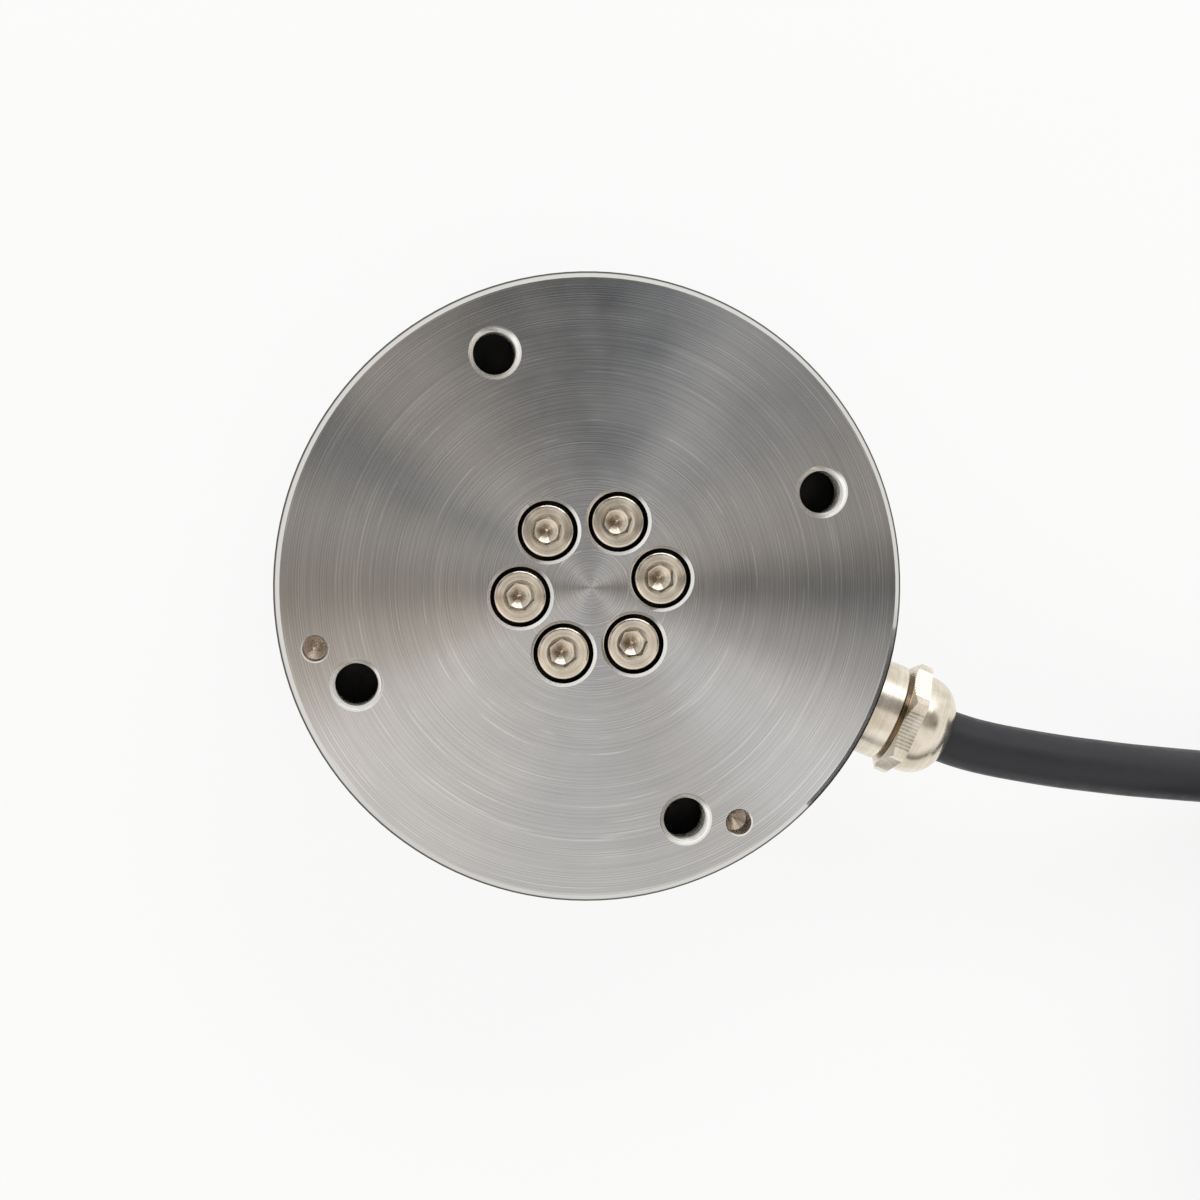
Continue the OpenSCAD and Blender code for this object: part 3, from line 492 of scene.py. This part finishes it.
def makeGrainGroup():
    # Size is the grain's width in millimetres
    group, given, out = newGroup("fineGrain", [
        ("Place", "Vector", None), ("Size", "Float", 0.3)],
        [("Grain", "Float"), ("Mottle", "Float")])
    scale = calc(group, "DIVIDE", 1.0, given["Size"])
    broad = calc(group, "MULTIPLY", scale, 0.06)
    for name, value in (("Grain", noiseAt(group, given["Place"], scale, 3.0, 0.6)),
                        ("Mottle", noiseAt(group, given["Place"], broad, 3.0, 0.55))):
        group.links.new(value, out.inputs[name])
    return group


def makeHoleGroup():
    # the place as seen from the nearest hole of a ring of holes round Z, in millimetres
    group, given, out = newGroup("holeCircle", [
        ("Place", "Vector", None), ("Circle", "Float", 40.0), ("First", "Float", 45.0),
        ("Step", "Float", 90.0)], [("Local", "Vector"), ("Distance", "Float")])
    angle = degreesRound(group, splitVector(group, given["Place"]))
    turns = calc(group, "DIVIDE", calc(group, "SUBTRACT", angle, given["First"]), given["Step"])
    hole = calc(group, "RADIANS", calc(group, "MULTIPLY_ADD", calc(group, "ROUND", turns),
                                       given["Step"], given["First"]))
    centre = joinVector(group, calc(group, "MULTIPLY", given["Circle"],
                                    calc(group, "COSINE", hole)),
                        calc(group, "MULTIPLY", given["Circle"], calc(group, "SINE", hole)))
    local = vectorCalc(group, "SUBTRACT", given["Place"], centre)
    flat = levelPart(group, splitVector(group, local))
    group.links.new(local, out.inputs["Local"])
    group.links.new(vectorCalc(group, "LENGTH", flat, output=1), out.inputs["Distance"])
    return group


latheGroup = makeLatheGroup()
grainGroup = makeGrainGroup()
holeGroup = makeHoleGroup()


def placeGroup(tree, group, inputs):
    made = tree.nodes.new("ShaderNodeGroup")
    made.node_tree = group
    for key, value in inputs.items():
        setSocket(tree, made.inputs[key], value)
    return made.outputs


def newFinish(name, **fixed):
    finish = bpy.data.materials.new(name)
    finish.use_nodes = True
    tree = finish.node_tree
    tree.nodes.clear()
    shader = tree.nodes.new("ShaderNodeBsdfPrincipled")
    addNode(tree, "ShaderNodeOutputMaterial", {"Surface": shader.outputs[0]})
    for key, value in fixed.items():
        shader.inputs[key.replace("_", " ")].default_value = value
    return finish, tree, shader.inputs


def millimetres(tree, centre=(0, 0, 0), axis=(0, 0, 1)):
    # the piece's own coordinates from a centre, in millimetres, with the axis turned to Z
    own = addNode(tree, "ShaderNodeTexCoord").outputs["Object"]
    moved = vectorCalc(tree, "SUBTRACT", own, tuple(centre))
    turn = Vector(axis).rotation_difference(Vector((0, 0, 1))).to_euler()
    return addNode(tree, "ShaderNodeMapping", {"Vector": moved, "Rotation": tuple(turn),
                                               "Scale": (1000, 1000, 1000)}).outputs[0]


def rough(tree, shader, height, strength, distance):
    bump = addNode(tree, "ShaderNodeBump", {"Height": height, "Strength": strength,
                                            "Distance": distance})
    tree.links.new(bump.outputs[0], shader["Normal"])


def acrossGrooves(tree, shader, place):
    # turned metal spreads its reflections across its grooves, in the surface and at right
    # angles to the way round the axis
    parts = splitVector(tree, place)
    around = joinVector(tree, calc(tree, "MULTIPLY", parts[1], -1.0), parts[0])
    normal = addNode(tree, "ShaderNodeNewGeometry").outputs["Normal"]
    across = vectorCalc(tree, "CROSS_PRODUCT", normal, around)
    tree.links.new(vectorCalc(tree, "NORMALIZE", across), shader["Tangent"])


def under(tree, value, limit, soft=0.03):  # 1 where it is under the limit, softly
    return remap(tree, value, limit - soft, limit + soft, 1.0, 0.0, "LINEAR")


def over(tree, value, limit, soft=0.03):
    return remap(tree, value, limit - soft, limit + soft, 0.0, 1.0, "LINEAR")


def radiusAndHeight(tree, place):
    parts = splitVector(tree, place)
    return vectorCalc(tree, "LENGTH", levelPart(tree, parts), output=1), parts[2]


turnedSteelSpec = {  # with the grain in millimetres, and the bump as strength and metres
    "dark": (0.47, 0.475, 0.485, 1),
    "light": (0.66, 0.66, 0.655, 1),
    "scuff": (0.80, 0.80, 0.79, 1),
    "roughness": (0.105, 0.145),
    "anisotropic": 1.0,
    "feed": 5.2,
    "spread": 2.4,
    "grain": 0.5,
    "grooveShare": 0.88,
    "scuffShare": 0.8,
    "tone": (0.38, 0.62),
    "bump": (0.12, 0.00001),
    "rim": (0.70, 0.69, 0.66, 1),
    # painted shade: a thin dark line along the outer edge of the flange's rim chamfer
    "rimShadeLine": (0.10, 0.09, 0.085, 1),
    "polished": (0.80, 0.79, 0.765, 1),
    "bore": (0.66, 0.61, 0.56, 1),
    "shadow": (0.012, 0.010, 0.009, 1),
}


def turnedSteel(name, spec, cuts=None):
    # fine rings from the lathe; cuts gives where the steel is cut or carries painted shade, and
    # the name of its colour
    finish, tree, shader = newFinish(name, Metallic=1.0, Anisotropic=spec["anisotropic"])
    place = millimetres(tree)
    lathe = placeGroup(tree, latheGroup, {"Place": place, "Feed": spec["feed"],
                                          "Spread": spec["spread"]})
    grain = placeGroup(tree, grainGroup, {"Place": place, "Size": spec["grain"]})
    tone = mixValues(tree, spec["grooveShare"], lathe["Grooves"], lathe["Bands"])
    colour = blend(tree, remap(tree, tone, *spec["tone"], 0.0, 1.0), spec["dark"], spec["light"])
    scuffed = calc(tree, "MULTIPLY", lathe["Scuffs"], spec["scuffShare"])
    colour = blend(tree, scuffed, colour, spec["scuff"])
    if cuts:
        for label, where in cuts(tree, place).items():
            colour = blend(tree, where, colour, spec[label])
    uneven = mixValues(tree, 0.5, lathe["Grooves"], grain["Mottle"])
    tree.links.new(colour, shader["Base Color"])
    tree.links.new(remap(tree, uneven, *noiseSpan, *spec["roughness"]), shader["Roughness"])
    rough(tree, shader, lathe["Grooves"], *spec["bump"])
    acrossGrooves(tree, shader, place)
    return finish


flangeCutSpec = {  # in millimetres, down from the face or out from a hole's axis
    "rim": 49.0,
    "rimDepth": (0.70, 1.05),  # where its dark line of painted shade starts, and where it ends
    "rimSoft": 0.08,
    "holes": {"Circle": 40.0, "First": 45.0, "Step": 90.0},
    "holeMouth": 4.22,
    "hub": {"Circle": 11.3, "First": 30.0, "Step": 60.0},
    "hubMouth": (5.32, 0.52),
    "dowels": ((44.5, 215.0), (44.5, 325.0)),
    "dowelMouth": (2.24, 0.22),
}


def flangeCuts(tree, place):
    spec = flangeCutSpec
    radius, height = radiusAndHeight(tree, place)
    depth = calc(tree, "SUBTRACT", cadBox[1].z * 1000, height)
    rim = calc(tree, "MULTIPLY", over(tree, radius, spec["rim"]),
               under(tree, depth, spec["rimDepth"][1]))
    # painted shade: a dark line on the lowest part of the rim chamfer
    rimShadeLine = calc(tree, "MULTIPLY", rim, over(tree, depth, spec["rimDepth"][0],
                                               spec["rimSoft"]))
    hub = placeGroup(tree, holeGroup, {"Place": place, **spec["hub"]})["Distance"]
    holes = placeGroup(tree, holeGroup, {"Place": place, **spec["holes"]})["Distance"]
    inHub, inHole = under(tree, hub, spec["hubMouth"][0]), under(tree, holes, spec["holeMouth"])
    hubDepth = under(tree, depth, spec["hubMouth"][1])
    polished = calc(tree, "ADD", inHole, calc(tree, "MULTIPLY", inHub, hubDepth), clamp=True)
    bored = 0.0
    for circle, angle in spec["dowels"]:
        dowel = placeGroup(tree, holeGroup, {"Place": place, "Circle": circle, "First": angle,
                                             "Step": 360.0})["Distance"]
        inDowel = under(tree, dowel, spec["dowelMouth"][0])
        mouth = calc(tree, "MULTIPLY", inDowel, under(tree, depth, spec["dowelMouth"][1]))
        polished = calc(tree, "ADD", polished, mouth, clamp=True)
        bored = calc(tree, "ADD", bored, calc(tree, "SUBTRACT", inDowel, mouth), clamp=True)
    dark = calc(tree, "MULTIPLY", inHub, calc(tree, "SUBTRACT", 1.0, hubDepth))
    return {"rim": rim, "rimShadeLine": rimShadeLine, "polished": polished, "bore": bored,
            "shadow": dark}


metalSpec = {  # what the bright metals share, with the grain in millimetres
    "feed": 3.0,
    "grooveShare": 0.3,
    "grain": 0.25,
    "wallSlope": (0.35, 0.1),  # for the painted wall shade: how far a wall's normal may rise, and how softly that ends
    "bump": (0.2, 0.00001),
}

nickelSpec = {
    **metalSpec,
    "dark": (0.64, 0.56, 0.445, 1),
    "light": (0.92, 0.85, 0.73, 1),
    "roughness": (0.12, 0.26),
}


def brightMetal(name, spec, centre=(0, 0, 0), axis=(0, 0, 1)):
    # spec may name a ring of turned pieces, a wall darkened with painted shade, and a band along
    # the axis
    finish, tree, shader = newFinish(name, Metallic=1.0,
                                     Anisotropic=spec.get("anisotropic", 0.0))
    place = millimetres(tree, centre, axis)
    if "ring" in spec:
        place = placeGroup(tree, holeGroup, {"Place": place, **spec["ring"]})["Local"]
        acrossGrooves(tree, shader, place)
    lathe = placeGroup(tree, latheGroup, {"Place": place, "Feed": spec["feed"]})
    grain = placeGroup(tree, grainGroup, {"Place": place, "Size": spec["grain"]})
    tone = mixValues(tree, spec["grooveShare"], lathe["Grooves"], grain["Mottle"])
    colour = blend(tree, remap(tree, tone, *noiseSpan, 0.0, 1.0), spec["dark"], spec["light"])
    if "wall" in spec:
        # painted shade on steep faces, whose normals rise less than the given slope
        facing = addNode(tree, "ShaderNodeNewGeometry").outputs["True Normal"]
        up = calc(tree, "ABSOLUTE", splitVector(tree, facing)[2])
        colour = blend(tree, under(tree, up, *spec["wallSlope"]), colour, spec["wall"])
    # on the gland this band is painted shade in the gap at the nut
    if "band" in spec:
        start, end, shade = spec["band"]
        along = radiusAndHeight(tree, place)[1]
        inside = calc(tree, "MULTIPLY", over(tree, along, start), under(tree, along, end))
        colour = blend(tree, inside, colour, shade)
    tree.links.new(colour, shader["Base Color"])
    tree.links.new(remap(tree, grain["Mottle"], *noiseSpan, *spec["roughness"]),
                   shader["Roughness"])
    rough(tree, shader, lathe["Grooves"], *spec["bump"])
    return finish


mottledSpec = {
    "tone": (0.35, 0.65),
    "bump": (0.4, 0.00004),
}


def mottled(name, dark, light, roughness, size=0.3):  # rubber, plastic, lacquer or film
    finish, tree, shader = newFinish(name)
    grain = placeGroup(tree, grainGroup, {"Place": millimetres(tree), "Size": size})
    tone = mixValues(tree, 0.5, grain["Grain"], grain["Mottle"])
    tree.links.new(blend(tree, remap(tree, tone, *mottledSpec["tone"], 0.0, 1.0), dark, light),
                   shader["Base Color"])
    tree.links.new(remap(tree, grain["Mottle"], *noiseSpan, *roughness), shader["Roughness"])
    rough(tree, shader, grain["Grain"], *mottledSpec["bump"])
    return finish


webbingSpec = {
    "dark": (0.008, 0.008, 0.010, 1),
    "light": (0.034, 0.034, 0.038, 1),
    "roughness": (0.65, 0.85),
    "radius": 49.0,  # of the coil that the straps hold, in millimetres
    "pitch": 0.9,
    "grain": 0.15,
    "weaveShare": 0.7,
    "sheen": 0.15,
    "bump": (0.6, 0.0001),
}


def wovenWebbing(name, spec):
    # ribs along the coil cross ribs round the strap
    finish, tree, shader = newFinish(name, Sheen_Weight=spec["sheen"])
    place = millimetres(tree, coilCentre)
    radius, height = radiusAndHeight(tree, place)
    parts = splitVector(tree, place)
    along = calc(tree, "MULTIPLY", calc(tree, "ARCTAN2", parts[1], parts[0]), spec["radius"])
    turn = 2 * math.pi / spec["pitch"]
    warp = calc(tree, "SINE", calc(tree, "MULTIPLY", along, turn))
    weft = calc(tree, "SINE", calc(tree, "MULTIPLY", calc(tree, "ADD", radius, height), turn))
    weave = calc(tree, "MULTIPLY_ADD", calc(tree, "MULTIPLY", warp, weft), 0.5, 0.5)
    grain = placeGroup(tree, grainGroup, {"Place": place, "Size": spec["grain"]})
    tone = mixValues(tree, spec["weaveShare"], weave, grain["Grain"])
    tree.links.new(blend(tree, tone, spec["dark"], spec["light"]), shader["Base Color"])
    tree.links.new(remap(tree, grain["Mottle"], *noiseSpan, *spec["roughness"]),
                   shader["Roughness"])
    rough(tree, shader, tone, *spec["bump"])
    return finish


def refinish(node, finish):  # in the CAD node's own slots
    for slot in nodes[node].material_slots:
        slot.material = finish


# centres and axes of what is turned about another axis than Z
onGland = (0, 0, cableSpec["exit"][2]), (1, 0, 0)
onPlug = plugStart, polar(1, cableSpec["plugAngle"])

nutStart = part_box("gland_nut")[0].x * 1000
glandSpec = {
    **nickelSpec,
    "roughness": (0.19, 0.31),
    "band": (nutStart - 0.602, nutStart - 0.022, (0.20, 0.14, 0.08, 1)),  # dark brown painted shade in the gap at the nut
}

screwSpec = {
    **nickelSpec,
    "dark": (0.66, 0.57, 0.45, 1),
    "light": (0.97, 0.90, 0.77, 1),
    # painted shade on every steep face of the screws: the hex socket walls and the heads' sides
    "wall": (0.16, 0.11, 0.07, 1),
    "roughness": (0.12, 0.17),
    "anisotropic": 1.0,
    "ring": flangeCutSpec["hub"],
    "grooveShare": 0.6,
}

plugSpec = {
    **nickelSpec,
    "dark": (0.48, 0.47, 0.45, 1),
    "light": (0.70, 0.69, 0.66, 1),
}

brassSpec = {
    **metalSpec,
    "dark": (0.55, 0.38, 0.14, 1),
    "light": (0.8, 0.6, 0.28, 1),
    "roughness": (0.2, 0.35),
}

goldSpec = {
    **metalSpec,
    "dark": (0.75, 0.5, 0.15, 1),
    "light": (0.95, 0.72, 0.3, 1),
    "roughness": (0.12, 0.25),
}

steel = turnedSteel("turnedSteel", turnedSteelSpec)
flangeSteel = turnedSteel("flangeSteel", turnedSteelSpec, flangeCuts)
glandNickel = brightMetal("glandNickel", glandSpec, *onGland)
screwNickel = brightMetal("screwNickel", screwSpec)
plugNickel = brightMetal("plugNickel", plugSpec, *onPlug)
rubber = mottled("sealRubber", (0.012, 0.012, 0.013, 1), (0.03, 0.03, 0.032, 1), (0.5, 0.7))
jacket = mottled("cableJacket", (0.014, 0.0145, 0.018, 1), (0.022, 0.023, 0.028, 1),
                 (0.48, 0.60), size=0.12)
moulded = mottled("blackMoulding", (0.006, 0.006, 0.007, 1), (0.014, 0.014, 0.016, 1),
                  (0.45, 0.6))
webbing = wovenWebbing("strapWebbing", webbingSpec)
board = mottled("boardLacquer", (0.01, 0.09, 0.04, 1), (0.015, 0.13, 0.06, 1), (0.25, 0.4))
cream = mottled("creamPlastic", (0.66, 0.62, 0.5, 1), (0.74, 0.7, 0.58, 1), (0.4, 0.55))
film = mottled("amberFilm", (0.5, 0.22, 0.03, 1), (0.62, 0.3, 0.05, 1), (0.25, 0.4))
brass = brightMetal("turnedBrass", brassSpec)
gold = brightMetal("pinGold", goldSpec, *onPlug)

for node, finish in {
        "tool_flange": flangeSteel, "measuring_body": steel, "bottom_cover": steel,
        "hub_screws": screwNickel, "bottom_cover_screws": steel, "board_screws": steel,
        "gland_body": glandNickel, "gland_nut": glandNickel, "gland_claw": cream,
        "gland_o_ring": rubber, "gland_seal": rubber, "bottom_gasket": rubber,
        "dust_seal": rubber, "plug_boot": rubber, "plug_shell": plugNickel,
        "plug_ring": plugNickel, "plug_insert": moulded, "plug_pins": gold,
        "cavity_cover": moulded, "cavity_cover_screws": moulded, "board_chips": moulded,
        "amplifier_board": board, "lead_sockets": cream, "cable_header": cream,
        "board_standoffs": brass, "strain_gauges": film, "gauge_leads": film,
        "cable_cores": film, "coil_ties": webbing}.items():
    refinish(node, finish)
giveFinish(cable, jacket)
print("finishes made")


# threads in the fixing holes

threadSpec = {
    "outer": 0.003985,  # just inside the plain hole
    "crest": 0.0034,
    "pitch": 0.00125,
    "ridge": 0.00116,
    "mouth": 0.0042,
    "toolDepth": 0.009,
    "robotDepth": 0.010,
    "boltCircle": 0.040,
    "angles": (45, 135, 225, 315),
    "steps": 60,
    "crestShare": 0.14,  # the ridge's width there, of its full width
    "coneIn": 0.001,  # how far the mouth's cone goes into the hole, and out of it
    "coneOut": 0.002,
    "coneSides": 72,
}


def cutWithCone(piece, spec, height, up):  # a 45 degree mouth at that height
    inward, outward = spec["coneIn"], spec["coneOut"]
    narrow, wide = spec["mouth"] - inward, spec["mouth"] + outward
    middle = (outward - inward) / 2
    bpy.ops.mesh.primitive_cone_add(vertices=spec["coneSides"], depth=inward + outward,
                                    radius1=narrow if up else wide,
                                    radius2=wide if up else narrow,
                                    location=(0, 0, height + (middle if up else -middle)))
    cutter = bpy.context.object
    applyModifier(piece, "BOOLEAN", operation="DIFFERENCE", object=cutter, solver="EXACT")
    bpy.data.objects.remove(cutter)


def makeThread(spec, depth, through, name):
    # a ridge's outline, wound down the hole and cut off where the mouth widens
    middle = (spec["outer"] + spec["crest"]) / 2
    bpy.ops.mesh.primitive_plane_add(size=1, location=(middle, 0, 0),
                                     rotation=(math.radians(90), 0, 0))
    thread = bpy.context.object
    thread.name = thread.data.name = name
    thread.scale = (spec["outer"] - spec["crest"], spec["ridge"], 1)
    bakePlace(thread)
    selectWhere(thread, lambda co: co.x < middle)
    bpy.ops.transform.resize(value=(1, 1, spec["crestShare"]),
                             center_override=(spec["crest"], 0, 0))
    bpy.ops.mesh.select_all(action="SELECT")
    bpy.ops.mesh.delete(type="ONLY_FACE")
    turns = int(depth / spec["pitch"]) + (2 if through else 1)
    applyModifier(thread, "SCREW", angle=2 * math.pi, screw_offset=spec["pitch"],
                  iterations=turns, steps=spec["steps"], render_steps=spec["steps"],
                  use_merge_vertices=False)
    thread.location.z = spec["pitch"] * (1 - turns)
    bakePlace(thread)
    bpy.ops.object.mode_set(mode="EDIT")
    bpy.ops.mesh.select_all(action="SELECT")
    bpy.ops.mesh.fill_holes(sides=4)
    bpy.ops.mesh.normals_make_consistent(inside=False)
    bpy.ops.object.mode_set(mode="OBJECT")
    cutWithCone(thread, spec, 0, True)
    if through:
        cutWithCone(thread, spec, -depth, False)
    smoothByAngle(thread, degrees=35)
    return thread


faceHeight = cadBox[1].z
toolThread = makeThread(threadSpec, threadSpec["toolDepth"], True, "toolThread")
robotThread = makeThread(threadSpec, threadSpec["robotDepth"], False, "robotThread")
threads = []
for i, angle in enumerate(threadSpec["angles"]):
    spot = polar(threadSpec["boltCircle"], angle)
    threads.append(copyAt(toolThread, Matrix.Translation(spot + Vector((0, 0, faceHeight))),
                          "toolThread%d" % (i + 1)))
    threads.append(copyAt(robotThread, Matrix.Translation(spot) @ Matrix.Rotation(math.pi, 4, "X"),
                          "robotThread%d" % (i + 1)))
for spare in (toolThread, robotThread):
    bpy.data.objects.remove(spare)
cutSteelSpec = {
    **metalSpec,
    "dark": (0.58, 0.57, 0.54, 1),
    "light": (0.88, 0.86, 0.82, 1),
    "roughness": (0.14, 0.26),
    "band": (faceHeight * 1000 - 0.88, faceHeight * 1000 + 0.1, (0.96, 0.94, 0.90, 1)),
    "feed": 6.0,
    "grooveShare": 0.6,
}
cutSteel = brightMetal("cutThreadSteel", cutSteelSpec)
for thread in threads:
    giveFinish(thread, cutSteel)
    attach(thread, "root")
print("threads cut:", len(threads), "with faces each:", len(threads[0].data.polygons))


# straps round the coil

strapSpec = {
    "angles": (237, 337),
    "width": 0.012,
    "thickness": 0.001,
    "low": (0.0389, 0.0006),  # corners of the strap's middle line, from the coil's axis
    "high": (0.0583, 0.0292),
    "slant": 0.0092,
    "corner": 0.0051,
    "slantCorner": 0.0021,
    "tabFrom": 0.0045,
    "tabGap": 1.08,  # of the thickness, between the two layers' middles
    "edge": 0.00018,
    "near": 1e-5,  # what is this close to a side counts as on it
}


def bevelCorners(piece, test, offset, segments=1):
    selectWhere(piece, test)
    bpy.ops.mesh.bevel(offset=offset, segments=segments, affect="VERTICES")
    bpy.ops.object.mode_set(mode="OBJECT")


def makeStrap(spec, name):
    # the strap's outline round the turns: the inner top corner is cut, as no turn lies there
    (x0, z0), (x1, z1) = spec["low"], spec["high"]
    near = spec["near"]
    bpy.ops.mesh.primitive_plane_add(size=1, rotation=(math.radians(90), 0, 0),
                                     location=((x0 + x1) / 2, spec["width"] / 2, (z0 + z1) / 2))
    strap = bpy.context.object
    strap.name = strap.data.name = name
    strap.scale = (x1 - x0, z1 - z0, 1)
    bakePlace(strap)
    bevelCorners(strap, lambda co: co.x < x0 + near and co.z > z1 - near, spec["slant"])
    bevelCorners(strap, lambda co: x0 + near < co.x < x1 - near or z0 + near < co.z < z1 - near,
                 spec["slantCorner"], segments=5)
    bevelCorners(strap, lambda co: (co.x > x1 - near and (co.z < z0 + near or co.z > z1 - near))
                 or (co.x < x0 + near and co.z < z0 + near), spec["corner"], segments=8)
    bpy.ops.object.mode_set(mode="EDIT")
    bpy.ops.mesh.select_all(action="SELECT")
    bpy.ops.mesh.delete(type="ONLY_FACE")
    bpy.ops.mesh.select_mode(type="EDGE")
    bpy.ops.mesh.select_all(action="SELECT")
    bpy.ops.mesh.extrude_region_move(TRANSFORM_OT_translate={"value": (0, -spec["width"], 0)})
    bpy.ops.mesh.select_all(action="SELECT")
    bpy.ops.mesh.normals_make_consistent(inside=False)
    # the free end lies over the outer side
    selectWhere(strap, lambda co, normal: normal.x > 0.5 and co.z > spec["tabFrom"], "FACE")
    bpy.ops.mesh.duplicate()
    bpy.ops.transform.shrink_fatten(value=-spec["thickness"] * spec["tabGap"])
    bpy.ops.object.mode_set(mode="OBJECT")
    applyModifier(strap, "SOLIDIFY", thickness=spec["thickness"], offset=0)
    applyModifier(strap, "BEVEL", width=spec["edge"], segments=2, limit_method="ANGLE")
    smoothByAngle(strap, degrees=40)
    return strap


strap = makeStrap(strapSpec, "coilStrap")
for i, angle in enumerate(strapSpec["angles"]):
    turned = Matrix.Translation((coilCentre.x, coilCentre.y, 0)) @ \
        Matrix.Rotation(math.radians(angle), 4, "Z")
    piece = copyAt(strap, turned, "coilStrap%d" % (i + 1))
    giveFinish(piece, webbing)
    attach(piece, "root")
    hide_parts("coil_ties")
bpy.data.objects.remove(strap)
print("straps made")
